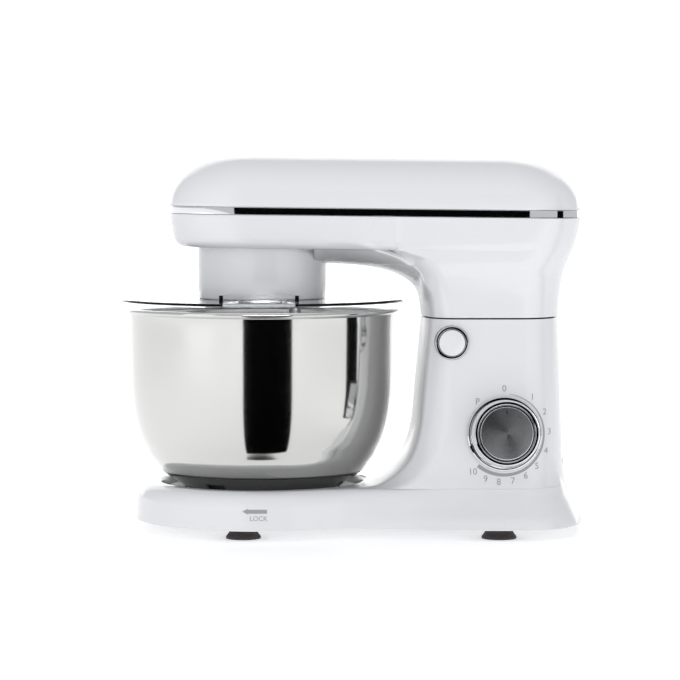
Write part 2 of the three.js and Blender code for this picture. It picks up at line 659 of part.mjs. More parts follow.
// Outline with involute flanks; a positive swell widens the teeth, a negative one thins them.
function gearPoints(teeth, inner, outer, swell) {
  const pitch = (gearModule * teeth) / 2;
  const base = pitch * Math.cos(PRESSURE);
  const halfAngle = (r) => Math.PI / (2 * teeth) + involute(PRESSURE)
    - involute(Math.acos(Math.min(1, base / Math.max(r, base)))) + swell / r;
  const radii = inner < base - 0.3 ? [inner, base, pitch, outer] : [inner, pitch, outer];
  return Array.from({ length: teeth }, (_, i) => {
    const middle = (i * 2 * Math.PI) / teeth;
    const at = (r, angle) => new THREE.Vector2(r * Math.cos(middle + angle), r * Math.sin(middle + angle));
    return [...radii.map((r) => at(r, -halfAngle(r))), ...radii.toReversed().map((r) => at(r, halfAngle(r)))];
  }).flat();
}

function extruded(points, z0, z1, holes = []) {
  const shape = new THREE.Shape(points);
  shape.holes.push(...holes);
  const settings = { depth: z1 - z0, bevelEnabled: false, curveSegments: 20 };
  return new THREE.ExtrudeGeometry(shape, settings).translate(0, 0, z0);
}

const circlePath = (radius) => new THREE.Path().absarc(0, 0, radius, 0, 2 * Math.PI, true);

function spurGear(teeth, boreRadius, z0, z1) {
  const pitch = (gearModule * teeth) / 2;
  const points = gearPoints(teeth, pitch - DEDENDUM, pitch + ADDENDUM, -BACKLASH);
  return extruded(points, z0, z1, [circlePath(boreRadius)]);
}

function ringGear(teeth, outerRadius, z0, z1) {
  const pitch = (gearModule * teeth) / 2;
  const rim = new THREE.Path().absarc(0, 0, outerRadius, 0, 2 * Math.PI, false).getPoints(24);
  const points = gearPoints(teeth, pitch - ADDENDUM, pitch + DEDENDUM, BACKLASH);
  return extruded(rim, z0, z1, [new THREE.Path(points.toReversed())]);
}

// ---------------------------------------------------------------- gear train in the head

const orbit = (gearModule * (ringTeeth - planetTeeth)) / 2;
const beaterX = bowlX + orbit;
const layX = bowlX + (gearModule * (mainTeeth + pinionTeeth)) / 2;
const carrierTopZ = carrierBottomZ + 14.5;
const ringZ = carrierTopZ + 2;
const ringTopZ = ringZ + 10;
const mainGearZ = headBottomZ + 12;
const mainGearTopZ = mainGearZ + 8;
const bridgeZ = mainGearTopZ + 5;
const pulleyZ = headBottomZ + 46;
const pulleyTopZ = pulleyZ + beltWidth + 1;

add('ring_gear', ringGear(ringTeeth, skirtRadius - skirtWall - GAP, ringZ, ringTopZ).translate(bowlX, 0, 0),
  looks.castMetal, head);
const caseRadius = skirtRadius - skirtWall - 0.5;
const caseZ = ringTopZ + 2;
const bearing = mainShaftRadius + 0.2;
const flangeZ = headBottomZ + WALL + 2; // the case hangs from a flange above the skirt
add('gear_case', turned([
  [bearing, caseZ], [caseRadius, caseZ], [caseRadius, flangeZ], [flangeRadius, flangeZ],
  [flangeRadius, flangeZ + 3], [caseRadius - 4, flangeZ + 3], [caseRadius - 4, caseZ + 4],
  [bearing + 5.8, caseZ + 4], [bearing + 5.8, flangeZ - 3], [bearing, flangeZ - 3],
], 28).translate(bowlX, 0, 0), looks.castMetal, head);

function gearBridge() {
  const [legX, legY] = [0.53, 0.773].map((share) => share * flangeRadius);
  const leg = disc(3.5, flangeZ + 3 + GAP, bridgeZ + 1, 12);
  const legs = [-legX, legX].flatMap((dx) => [-legY, legY].map((y) => move(leg, bowlX + dx, y, 0)));
  const plate = block(bowlX - legX - 6, layX + 14, -legY - 4, legY + 4, bridgeZ, bridgeZ + 4);
  const holes = [[bowlX, bearing], [layX, layshaftRadius + 0.2]];
  return cut(join(plate, ...legs),
    ...holes.map(([x, radius]) => move(disc(radius, bridgeZ - 3, bridgeZ + 9, 20), x, 0, 0)));
}
add('gear_bridge', gearBridge(), looks.castMetal, head);

const carrier = new THREE.Group();
carrier.name = 'planet_carrier_group';
head.add(carrier);
const carrierRadius = skirtRadius - skirtWall - 1.2;
add('planet_carrier', cut(
  turned([
    [0, carrierBottomZ], [carrierRadius - 2.7, carrierBottomZ], [carrierRadius, carrierBottomZ + 2.8],
    [carrierRadius, carrierTopZ - 5], [carrierRadius - 7.2, carrierTopZ], [0, carrierTopZ],
  ], 40).translate(bowlX, 0, 0),
  move(disc(beaterShaftRadius + 0.25, carrierBottomZ - 10, ringZ + 4, 20), beaterX, 0, 0),
  move(disc(mainShaftRadius + FIT, carrierTopZ - 10, ringZ + 4, 20), bowlX, 0, 0),
), looks.machined, carrier);
add('main_shaft', move(disc(mainShaftRadius, carrierTopZ - 10 + GAP, pulleyZ - 8, 20), bowlX, 0, 0),
  looks.machined, carrier);
add('main_gear', spurGear(mainTeeth, mainShaftRadius + FIT, mainGearZ, mainGearTopZ).translate(bowlX, 0, 0),
  looks.nylon, carrier);

const shaftTopZ = ringTopZ + 1;
const crossPinZ = guardTopZ - 25.9;
const pinHalf = 9.5;
add('planet_pinion', spurGear(planetTeeth, beaterShaftRadius + FIT, ringZ, ringTopZ).translate(beaterX, 0, 0),
  looks.machined, carrier);
add('beater_shaft', cut(
  disc(beaterShaftRadius, crossPinZ - 10, shaftTopZ, 20).translate(beaterX, 0, 0),
  sideCylinder(2.1, -pinHalf, pinHalf, beaterX, crossPinZ, 12),
), looks.machined, carrier);
add('cross_pin', sideCylinder(2, -pinHalf, pinHalf, beaterX, crossPinZ, 12), looks.machined, carrier);

// Flat beater: a rounded frame with a central rib and crossbars, and a socket for the shaft. The frame's
// points are [share of its half-width, share of its height].
const beaterBottomZ = bowlFloorZ + 17;
const beaterTopZ = crossPinZ - 12;
const beaterHalf = bowlRimRadius - orbit - 24.6;
const ribHalf = 4;
function flatBeater() {
  const at = ([across, up]) => [across * beaterHalf, mix(beaterBottomZ, beaterTopZ, up)];
  const side = [
    [0.158, 1], [0.421, 0.969], [0.737, 0.857], [0.93, 0.694], [1, 0.531], [0.965, 0.367], [0.86, 0.224],
    [0.667, 0.102], [0.386, 0.026], [0.123, 0],
  ].map(at);
  const window = [
    [0, 0.898], [0.386, 0.878], [0.632, 0.786], [0.789, 0.653], [0.851, 0.52], [0.816, 0.388], [0.719, 0.27],
    [0.561, 0.179], [0.316, 0.107], [0, 0.092],
  ].map(at).map(([x, z]) => [Math.max(x, ribHalf), z]);
  const frame = sidePlate([...side, ...side.toReversed().map(([x, z]) => [-x, z])], -4, 4);
  const windows = [1, -1].map((way) => sidePlate(window.map(([x, z]) => [way * x, z]), -8, 8));
  const bars = [[0.306, 0.367], [0.592, 0.653]].map(([low, high]) => sidePlate(
    [[-0.772, high], [0.772, high], [0.772, low], [-0.772, low]].map(at), -3, 3));
  const [bore, outer, seatZ] = [beaterShaftRadius + GAP, beaterShaftRadius + 4.5, crossPinZ - 10.6];
  const collar = turned([[bore, seatZ], [bore, crossPinZ + 12], [outer, crossPinZ + 12], [outer, seatZ]], 24);
  const tip = turned([
    [0, seatZ - 9.4], [8, seatZ - 9.4], [outer, seatZ - 4.4], [outer, seatZ + 0.4], [0, seatZ + 0.4],
  ], 24);
  return cut(
    join(cut(frame, ...windows), ...bars, tip, collar),
    block(-2.4, 2.4, -12, 12, crossPinZ - 2.6, crossPinZ + 4),
    disc(bore, seatZ, crossPinZ + 14, 24),
  ).translate(beaterX, 0, 0);
}
add('flat_beater', flatBeater(), looks.castMetal, carrier);

// ---------------------------------------------------------------- motor and belt

const layshaft = disc(layshaftRadius, mainGearZ - 3, pulleyTopZ + 4, 16);
add('layshaft', move(layshaft, layX, 0, 0), looks.machined, head);
const halfTooth = Math.PI / pinionTeeth;
add('layshaft_pinion', spurGear(pinionTeeth, layshaftRadius + FIT, mainGearZ - 1, mainGearTopZ + 1)
  .rotateZ(Math.PI + halfTooth).translate(layX, 0, 0), looks.machined, head);

function pulley(radius, bore, x) {
  const flange = radius + 3;
  return turned([
    [bore, pulleyZ - 2], [flange, pulleyZ - 2], [flange, pulleyZ - 0.4], [radius, pulleyZ],
    [radius, pulleyTopZ], [flange, pulleyTopZ + 0.4], [flange, pulleyTopZ + 2], [bore, pulleyTopZ + 2],
  ], 24).translate(x, 0, 0);
}
add('big_pulley', pulley(bigPulleyRadius, layshaftRadius + FIT, layX), looks.nylon, head);
add('motor_pulley', pulley(motorPulleyRadius, motorShaftRadius + FIT, motorX), looks.machined, head);

function beltOutline(offset) {
  const span = motorX - layX;
  const [big, small] = [bigPulleyRadius + offset, motorPulleyRadius + offset];
  const lean = Math.acos((big - small) / span);
  const arc = (x, radius, from, to) => Array.from({ length: 21 }, (_, i) => {
    const angle = mix(from, to, i / 20);
    return new THREE.Vector2(x + radius * Math.cos(angle), radius * Math.sin(angle));
  });
  return [...arc(layX, big, lean, 2 * Math.PI - lean), ...arc(motorX, small, -lean, lean)];
}
add('drive_belt', extruded(beltOutline(GAP + beltThickness), pulleyZ + 0.5, pulleyZ + 0.5 + beltWidth,
  [new THREE.Path(beltOutline(GAP).toReversed())]), looks.rubber, head);

const aboutMotor = (geometry) => move(geometry, motorX, 0, 0);
const statorZ = headBottomZ - 18;
const statorTopZ = statorZ + 34;
const airGap = 0.8;
const rotorRadius = statorRadius - 11.8;
const commutatorZ = statorZ - 20;
const stator = tube(rotorRadius + airGap, statorRadius, statorZ, statorTopZ, 24);
add('motor_stator', aboutMotor(stator), looks.castMetal, head);
const windingRows = [['lower', statorZ - 7, statorZ - GAP], ['upper', statorTopZ + GAP, statorTopZ + 7]];
for (const [row, z0, z1] of windingRows) {
  const winding = tube(rotorRadius + airGap + 0.5, statorRadius - 2.5, z0, z1, 20);
  add(`field_winding_${row}`, aboutMotor(winding), looks.copper, head);
}
const rotor = tube(motorShaftRadius + FIT, rotorRadius, statorZ + 1, statorTopZ - 1, 20);
add('motor_rotor', aboutMotor(rotor), looks.copper, head);
const motorShaft = disc(motorShaftRadius, commutatorZ - 4, pulleyTopZ + 4, 16);
add('motor_shaft', aboutMotor(motorShaft), looks.machined, head);
const commutatorRadius = motorShaftRadius + 5;
const commutator = tube(motorShaftRadius + FIT, commutatorRadius, commutatorZ, commutatorZ + 11, 16);
add('commutator', aboutMotor(commutator), looks.copper, head);
for (const [side, way] of [['left', -1], ['right', 1]]) {
  const [near, far] = [way * (commutatorRadius + 0.4), way * (commutatorRadius + 13)].sort((a, b) => a - b);
  const brush = block(motorX - 3, motorX + 3, near, far, commutatorZ + 2, commutatorZ + 9);
  add(`carbon_brush_${side}`, brush, looks.darkPlastic, head);
}

// Cooling fan: a hub with blades standing on a disc.
const fanZ = statorTopZ + 11;
function coolingFan() {
  const blade = block(8, 27, -0.8, 0.8, fanZ + 2, fanZ + 10);
  const blades = Array.from({ length: 8 }, (_, i) => turnedTo(blade, i * 45));
  return aboutMotor(cut(
    join(disc(28, fanZ, fanZ + 2.4, 24), disc(9, fanZ, fanZ + 10, 20), ...blades),
    disc(motorShaftRadius + FIT, fanZ - 6, fanZ + 14, 16),
  ));
}
add('cooling_fan', coolingFan(), looks.darkPlastic, head);

const chassisZ = headBottomZ - 5.5;
function headChassis() {
  const [z0, z1] = [chassisZ, chassisZ + 4];
  const lug = (y0, y1) => sidePlate([
    [pivotX - 11, pivotZ - 6], [pivotX - 6, pivotZ - 10], [pivotX + 6, pivotZ - 10], [pivotX + 11, pivotZ - 6],
    [pivotX + 13, z0 + 1], [pivotX - 14, z0 + 1],
  ], y0, y1, [[pivotX, pivotZ, pinRadius + 0.25]]);
  return cut(
    join(block(motorX - 35, pivotX + 10, -42, 42, z0, z1), lug(lugInner, lugOuter), lug(-lugOuter, -lugInner)),
    aboutMotor(disc(statorRadius + GAP, z0 - 5, z1 + 5, 32)),
  );
}
add('head_chassis', headChassis(), looks.castMetal, head);

// Striker that hangs from the chassis into the column, beside the latch.
const strikerX = buttonX + 13.3;
const strikerY = latchY - 6;
add('latch_striker', join(
  block(strikerX, strikerX + 5, strikerY, strikerY + 3.5, buttonZ + 2, chassisZ - GAP),
  block(strikerX, strikerX + 10, strikerY, strikerY + 3.5, buttonZ + 2, buttonZ + 6),
), looks.castMetal, head);

// ---------------------------------------------------------------- splash guard

function splashGuard() {
  const under = guardTopZ - guardPlate;
  const lip = guardRadius - 1.6;
  const hole = skirtRadius - 2.8;
  const plate = turned([
    [hole, under], [lip - 0.4, under], [lip, under - 0.6], [lip, bowlRimZ], [guardRadius, bowlRimZ],
    [guardRadius, guardTopZ - 1.2], [guardRadius - 1.2, guardTopZ], [hole, guardTopZ],
  ], 48);
  const fan = (r0, r1, halfDegrees, z0, z1) => {
    const spread = THREE.MathUtils.degToRad(halfDegrees);
    const arc = (r, a, b) => Array.from({ length: 7 }, (_, i) => {
      const angle = -Math.PI / 2 + mix(a, b, i / 6);
      return new THREE.Vector2(r * Math.cos(angle), r * Math.sin(angle));
    });
    return extruded([...arc(r1, -spread, spread), ...arc(r0, spread, -spread)], z0, z1);
  };
  const [near, far] = [skirtRadius + 10.6, guardRadius - 13]; // window of the filling chute
  const rim = fan(near - 2, far + 2, 17.5, under + 1, guardTopZ + 6);
  const window = fan(near, far, 16, under - 5, guardTopZ + 9);
  return join(cut(plate, window), cut(rim, window)).translate(bowlX, 0, 0);
}
add('splash_guard', splashGuard(), looks.clear, head);

// ---------------------------------------------------------------- bowl

const bowl = new THREE.Group();
bowl.name = 'bowl';
root.add(bowl);
const bowlHeight = bowlRimZ - bowlFloorZ;
const bowlSide = profile(...[
  [0.104, 27.2], [0.149, 22.8], [0.193, 18], [0.2375, 14.8], [0.282, 11.6], [0.371, 7.6], [0.46, 5.2],
  [0.59, 3.6], [0.771, 3], [0.949, 2.4], [0.979, 2],
].map(([share, inside]) => [bowlFloorZ + share * bowlHeight, bowlRimRadius - inside]));
const bowlShares = [0.104, 0.167, 0.2375, 0.3125, 0.41, 0.59, 0.949];
const bowlLevels = bowlShares.map((share) => bowlFloorZ + share * bowlHeight);

function mixingBowl() {
  const bead = Array.from({ length: 7 }, (_, i) => {
    const angle = Math.PI * (1.15 - (i * 1.75) / 6);
    return [bowlRimRadius + rimBead * Math.cos(angle), bowlRimZ + rimBead * Math.sin(angle)];
  });
  const [foot, floorZ, neckRadius] = [bowlFootRadius, bowlFloorZ + 1.6, bowlRimRadius - 2];
  const outside = [
    [foot - 1.4, floorZ], [foot + 0.1, floorZ + 0.6], [bowlSide(bowlLevels[0]) - 3.4, floorZ + 11],
    ...bowlLevels.map((z) => [bowlSide(z), z]), [neckRadius, bowlRimZ - 3.4],
  ];
  const inside = [
    [foot - 3.4, floorZ + bowlWall], [foot - 0.6, floorZ + bowlWall + 0.8],
    [bowlSide(bowlLevels[0]) - 3.4 - bowlWall, floorZ + bowlWall + 11],
    ...bowlLevels.map((z) => [bowlSide(z) - bowlWall, z + 0.2]), [neckRadius - bowlWall, bowlRimZ - 2.6],
  ];
  const over = [...bead.toReversed(), ...inside.toReversed()];
  return turned([[0, floorZ], ...outside, ...over, [0, floorZ + bowlWall]], 40).translate(bowlX, 0, 0);
}
add('mixing_bowl', mixingBowl(), looks.steel, bowl);

function bowlFoot() {
  const [outer, inner, low] = [bowlFootRadius, bowlFootRadius - 5.4, bowlFloorZ - 4.4];
  const ring = turned([
    [inner, low], [outer, low], [outer, bowlFloorZ], [outer - 1.4, bowlFloorZ + 1.3], [inner, bowlFloorZ + 1.3],
  ], 36);
  const tab = block(outer - 2.4, outer + tabReach, -7, 7, low, low + 2.9);
  return join(ring, ...tabAngles.map((a) => turnedTo(tab, a))).translate(bowlX, 0, 0);
}
add('bowl_foot', bowlFoot(), looks.machined, bowl);

root.name = 'stand_mixer';
export default root;
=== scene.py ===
"""Looks for the tilt-head stand mixer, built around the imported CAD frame.

Shapes are worked out in millimetres and written to Blender in metres. The head points along -X, the
knob faces -Y and +Z is up. Casings are lofts of horizontal outlines, round parts are turned profiles.
"""

import json
import math

import bmesh
import bpy
import numpy as np
from mathutils import Matrix, Vector


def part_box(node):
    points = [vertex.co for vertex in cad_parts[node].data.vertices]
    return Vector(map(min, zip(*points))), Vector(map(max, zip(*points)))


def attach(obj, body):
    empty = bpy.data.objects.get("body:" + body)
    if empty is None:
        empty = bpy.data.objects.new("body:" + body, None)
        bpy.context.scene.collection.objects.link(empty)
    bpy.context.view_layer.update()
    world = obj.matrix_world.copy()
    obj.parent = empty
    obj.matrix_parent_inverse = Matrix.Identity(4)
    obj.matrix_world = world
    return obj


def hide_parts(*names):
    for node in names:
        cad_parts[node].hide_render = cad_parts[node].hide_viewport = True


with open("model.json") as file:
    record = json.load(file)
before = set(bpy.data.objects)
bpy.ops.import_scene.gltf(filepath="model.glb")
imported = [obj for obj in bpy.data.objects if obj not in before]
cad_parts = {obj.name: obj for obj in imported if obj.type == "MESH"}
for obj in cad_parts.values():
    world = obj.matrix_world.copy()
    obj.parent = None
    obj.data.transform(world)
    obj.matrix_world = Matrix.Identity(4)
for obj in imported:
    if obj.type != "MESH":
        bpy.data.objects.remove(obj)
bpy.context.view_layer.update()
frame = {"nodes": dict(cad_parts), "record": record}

MM = 0.001


def box(node):
    """A node's lowest and highest corners at rest, in millimetres."""
    low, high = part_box(node)
    return np.array(low) / MM, np.array(high) / MM


# ---------------------------------------------------------------- sizes from the frame

base_low, base_high = box("base_housing")
head_low, head_high = box("head_housing")
cover_low, cover_high = box("head_cover")
bowl_low, bowl_high = box("mixing_bowl")
guard_low, guard_high = box("splash_guard")
joints = {joint["name"]: joint for joint in frame["record"]["behaviour"]["joints"]}

BOWL_X = (bowl_low[0] + bowl_high[0]) / 2
REAR_X = base_high[0]
FOOT_Z = base_low[2]
PAD_RADIUS = base_high[1]
COLUMN_TOP_Z = base_high[2]
NECK_BOTTOM_Z = head_low[2]
SEAM_Z = (COLUMN_TOP_Z + NECK_BOTTOM_Z) / 2
HEAD_HALF = head_high[1]
HEAD_FRONT_X = cover_low[0]
HEAD_REAR_X = cover_high[0] + 0.4
BOWL_RIM_RADIUS = (bowl_high[0] - bowl_low[0]) / 2
BOWL_TOP_Z = bowl_high[2]
GUARD_RADIUS = (guard_high[0] - guard_low[0]) / 2
PIVOT_Z = joints["head_tilt"]["pos_m"][2] / MM

# Sizes that the frame's boxes don't give.
BASE_TOP = 38.0
WAIST_HALF = 82.0
REAR_HALF = 96.0
COLUMN_FRONT_X = 56.0
COLUMN_REAR_X = 165.0
COLUMN_HALF = 58.0
BULGE = 7.0
BEVEL = 14.0
HEAD_BOTTOM_Z = 224.0
BAND_Z = 250.5
BAND_HEIGHT = 6.0
HEAD_TOP_Z = 297.0
HEAD_SLOPE = 0.011
ARCH_TOP = HEAD_BOTTOM_Z - 12.4
WALL = 3.0
SKIRT_RADIUS = 51.4
SKIRT_BOTTOM_Z = 184.2
SOCKET_RADIUS = 81.0
SOCKET_FLOOR_Z = 26.0
PAD_ROUNDING = 13.0
ARM_SPLIT_X = 60.0
NEAR_SIDE = (0, -1, 0)


# ---------------------------------------------------------------- curves and outlines

def mix(a, b, t):
    return a + (b - a) * t


def clamp01(t):
    return np.clip(t, 0.0, 1.0)


def smooth(t):
    return clamp01(t) ** 2 * (3 - 2 * clamp01(t))


def soft_min(a, b, reach):
    """The lower of two values, rounded off where they are within reach of each other."""
    h = np.maximum(reach - np.abs(a - b), 0) / reach
    return np.minimum(a, b) - h * h * reach / 4


def soft_max(a, b, reach):
    return -soft_min(-a, -b, reach)


def curve(*pairs):
    """A smooth curve through (position, value) pairs that never overshoots them."""
    at = np.array([p for p, _ in pairs], float)
    value = np.array([v for _, v in pairs], float)
    slope = np.diff(value) / np.diff(at)
    tangent = np.empty(len(at))
    tangent[0], tangent[-1] = slope[0], slope[-1]
    both = slope[:-1] * slope[1:] > 0
    total = np.where(both, slope[:-1] + slope[1:], 1.0)
    tangent[1:-1] = np.where(both, 2 * slope[:-1] * slope[1:] / total, 0.0)

    def evaluate(p):
        p = np.clip(p, at[0], at[-1])
        i = np.clip(np.searchsorted(at, p, side="right") - 1, 0, len(at) - 2)
        span = at[i + 1] - at[i]
        t = (p - at[i]) / span
        return (value[i] * (1 + 2 * t) * (1 - t) ** 2 + tangent[i] * span * t * (1 - t) ** 2
                + value[i + 1] * t * t * (3 - 2 * t) + tangent[i + 1] * span * t * t * (t - 1))

    return evaluate


def rounded(x, front, rear, half, front_length, rear_length, power=2.5):
    """Half-width of an outline whose ends are superellipses of the given lengths."""
    u = np.maximum((front + front_length - x) / front_length, (x - rear + rear_length) / rear_length)
    return half * (1 - clamp01(u) ** power) ** (1 / power)


def throat(x, near, first_crease, second_crease, crease_half, half):
    """Half-width of the inner face of the C: bulged to the first crease, then bevelled out to the side."""
    bevel = clamp01((x - first_crease) / (second_crease - first_crease))
    out = mix(crease_half, half, 1 - (1 - bevel) ** 1.6) + np.maximum(first_crease - x, 0) * 0.6
    return soft_min(near, out, 4.0)


# Base and column
flare_from = COLUMN_REAR_X + 6
base_rear = curve(
    (FOOT_Z, REAR_X), (FOOT_Z + 6, mix(flare_from, REAR_X, 0.86)),
    (BASE_TOP - 11, mix(flare_from, REAR_X, 0.4)), (BASE_TOP - 5, mix(flare_from, REAR_X, 0.14)),
    (BASE_TOP + 8, COLUMN_REAR_X + 4.8),
    (BASE_TOP + 42, COLUMN_REAR_X + 3), (SEAM_Z, COLUMN_REAR_X))
side_from = COLUMN_HALF + 10
base_half = curve(
    (FOOT_Z, REAR_HALF), (FOOT_Z + 6, mix(side_from, REAR_HALF, 0.9)),
    (BASE_TOP - 12, mix(side_from, REAR_HALF, 0.54)), (BASE_TOP, mix(side_from, REAR_HALF, 0.25)),
    (BASE_TOP + 12, mix(side_from, REAR_HALF, 0.09)),
    (BASE_TOP + 42, COLUMN_HALF + 8.6), (SEAM_Z, COLUMN_HALF))
rear_end = curve((FOOT_Z, 60), (BASE_TOP, 46), (SEAM_Z, 40))
column_front = curve(
    (BASE_TOP, COLUMN_FRONT_X - 52), (BASE_TOP + 2, COLUMN_FRONT_X - 42), (BASE_TOP + 6, COLUMN_FRONT_X - 33),
    (BASE_TOP + 11, COLUMN_FRONT_X - 26), (BASE_TOP + 17, COLUMN_FRONT_X - 20),
    (BASE_TOP + 24, COLUMN_FRONT_X - 15), (BASE_TOP + 34, COLUMN_FRONT_X - 11),
    (BASE_TOP + 50, COLUMN_FRONT_X - 7.5), (BASE_TOP + 78, COLUMN_FRONT_X - 5),
    (SEAM_Z, COLUMN_FRONT_X))
column_crease = curve(
    (BASE_TOP, COLUMN_FRONT_X - 16), (BASE_TOP + 6, COLUMN_FRONT_X - 3), (BASE_TOP + 17, COLUMN_FRONT_X + 10),
    (BASE_TOP + 35, COLUMN_FRONT_X + 20), (BASE_TOP + 54, COLUMN_FRONT_X + 23.5),
    (SEAM_Z, COLUMN_FRONT_X + 25))


def shoulder(z):
    """How far the rounded edge of the base has drawn in at a height."""
    lean = 1.2 * clamp01((z - FOOT_Z) / 17)
    return lean + 11.0 * (1 - math.sqrt(1 - clamp01((z - BASE_TOP + PAD_ROUNDING) / PAD_ROUNDING) ** 2))


def pad_half(x, z):
    drop = shoulder(z)
    radius = PAD_RADIUS - drop
    disc = np.sqrt(np.maximum(0, radius ** 2 - (x - BOWL_X) ** 2))
    waist = mix(WAIST_HALF - drop, base_half(z), smooth((x + 20) / 110))
    block = rounded(x, BOWL_X, base_rear(z), waist, 1, rear_end(z), 2.6)
    return np.where(x < BOWL_X + 2, disc, soft_max(disc, block, 14.0))


def column_half(x, z):
    front, side = column_front(z), base_half(z)
    bulge = (side - BEVEL) * np.sqrt(np.maximum(x - front, 0) / BULGE)
    inner = throat(x, bulge, front + BULGE, column_crease(z), side - BEVEL, side)
    return soft_min(inner, rounded(x, front, base_rear(z), side, 1, rear_end(z)), 3.0)


# Head
neck_rear = curve(
    (SEAM_Z, COLUMN_REAR_X), (SEAM_Z + 12, COLUMN_REAR_X + 0.8), (PIVOT_Z, COLUMN_REAR_X + 3),
    (PIVOT_Z + 14, COLUMN_REAR_X + 7), (HEAD_BOTTOM_Z + 2, COLUMN_REAR_X + 12),
    (BAND_Z - 12, HEAD_REAR_X - 3), (BAND_Z, HEAD_REAR_X - 0.4))
neck_side = curve(
    (SEAM_Z, COLUMN_HALF), (PIVOT_Z - 14, COLUMN_HALF + 0.8), (PIVOT_Z + 2, COLUMN_HALF + 4),
    (HEAD_BOTTOM_Z - 8, COLUMN_HALF + 8.5), (HEAD_BOTTOM_Z + 6, HEAD_HALF - 1.6), (BAND_Z, HEAD_HALF))
neck_front = curve(
    (SEAM_Z, COLUMN_FRONT_X), (SEAM_Z + 17, COLUMN_FRONT_X - 2.4), (SEAM_Z + 25, COLUMN_FRONT_X - 7),
    (SEAM_Z + 32, COLUMN_FRONT_X - 16.8), (SEAM_Z + 36, COLUMN_FRONT_X - 26.4),
    (SEAM_Z + 40, COLUMN_FRONT_X - 46), (ARCH_TOP, COLUMN_FRONT_X - 65))
arch_z = curve(*[(float(neck_front(z)), z) for z in np.linspace(ARCH_TOP, SEAM_Z, 24)],
               (COLUMN_FRONT_X + 12, SEAM_Z - 150))
first_crease = curve(
    (SEAM_Z, COLUMN_FRONT_X + BULGE), (SEAM_Z + 33, COLUMN_FRONT_X), (ARCH_TOP, COLUMN_FRONT_X - 6),
    (HEAD_BOTTOM_Z - 7, COLUMN_FRONT_X - 10.5), (HEAD_BOTTOM_Z, COLUMN_FRONT_X - 26))
second_crease = curve(
    (SEAM_Z, COLUMN_FRONT_X + 25), (SEAM_Z + 23, COLUMN_FRONT_X + 20.6), (SEAM_Z + 36, COLUMN_FRONT_X + 15.4),
    (HEAD_BOTTOM_Z - 7, COLUMN_FRONT_X + 7.7), (HEAD_BOTTOM_Z - 2.5, COLUMN_FRONT_X - 6.6),
    (HEAD_BOTTOM_Z, COLUMN_FRONT_X - 16))
BELLY_FRONT = BOWL_X + 42
CORNER = 9.0


def neck_half(x, z):
    side = neck_side(z)
    crease = side - BEVEL + 2
    below = np.maximum(z - arch_z(x), 0) * crease ** 2 / (HEAD_BOTTOM_Z - ARCH_TOP)
    behind = np.maximum(x - neck_front(z), 0) * crease ** 2 / BULGE
    behind = np.where(z > ARCH_TOP, 1e9, behind)
    near = np.sqrt(below * behind / np.maximum(below + behind, 1e-6))
    inner = throat(x, near, first_crease(z), second_crease(z), crease, side)
    return soft_min(inner, rounded(x, BELLY_FRONT - 2, neck_rear(z), side, 1, 42), 3.0)


def front_lean(z):
    return 4 * clamp01((BAND_Z + 3 - z) / 22)


def arm_half(x, z, front_in, side_in, rear_in=0.0):
    front = HEAD_FRONT_X + front_in
    rear = min(float(neck_rear(z)), HEAD_REAR_X) - rear_in
    taper = 1 - 0.06 * clamp01((rear - x) / (rear - front))
    half = HEAD_HALF - side_in
    ends = half / HEAD_HALF
    return taper * rounded(x, front, rear, half, 66 * ends, 60 * ends, 2.35), front, rear


def sheared(points):
    """The head falls slightly towards the rear; its lower end stays level at the seam."""
    lean = HEAD_SLOPE * smooth((points[:, 2] - PIVOT_Z) / (HEAD_BOTTOM_Z - PIVOT_Z))
    points[:, 2] -= lean * (points[:, 0] - BOWL_X - 60)
    return points


# ---------------------------------------------------------------- mesh helpers

NEAR_POINTS = 170  # points along half an outline in front of the split
FAR_POINTS = 80  # and behind it


def along(points, count):
    """Points spaced evenly along a polyline."""
    length = np.concatenate([[0], np.cumsum(np.hypot(*np.diff(points, axis=0).T))])
    even = np.linspace(0, length[-1], count)
    return np.column_stack([np.interp(even, length, points[:, k]) for k in (0, 1)])


def ring(half, front, rear, z, split=None):
    """A closed outline at a height, from a half-width function of x, with evenly spaced points."""
    t = (1 - np.cos(np.linspace(0, math.pi, 1400))) / 2
    x = mix(front, rear, t)
    y = np.maximum(half(x), 0)
    y[0] = y[-1] = 0
    points = np.column_stack([x, y])
    if split is None:
        split = mix(front, rear, 0.6)
    cut = int(np.searchsorted(x, split))
    at = [split, np.interp(split, x, y)]
    near = along(np.vstack([points[:cut], at]), NEAR_POINTS + 1)
    far = along(np.vstack([at, points[cut:]]), FAR_POINTS + 1)
    side = np.vstack([near, far[1:]])
    outline = np.vstack([side, side[-2:0:-1] * [1, -1]])
    return np.column_stack([outline, np.full(len(outline), z)])


def make(name, vertices, faces, sharp=40, weld=True):
    """A mesh object from millimetre points, smooth except where faces meet at more than the sharp angle."""
    mesh = bpy.data.meshes.new(name)
    points = [tuple(v) for v in np.asarray(vertices, float) * MM]
    mesh.from_pydata(points, [], [tuple(map(int, f)) for f in faces])
    work = bmesh.new()
    work.from_mesh(mesh)
    if weld:
        bmesh.ops.remove_doubles(work, verts=work.verts, dist=1e-6)
    bmesh.ops.recalc_face_normals(work, faces=work.faces)
    work.to_mesh(mesh)
    work.free()
    mesh.polygons.foreach_set("use_smooth", [True] * len(mesh.polygons))
    mesh.set_sharp_from_angle(angle=math.radians(sharp))
    piece = bpy.data.objects.new(name, mesh)
    bpy.context.scene.collection.objects.link(piece)
    return piece


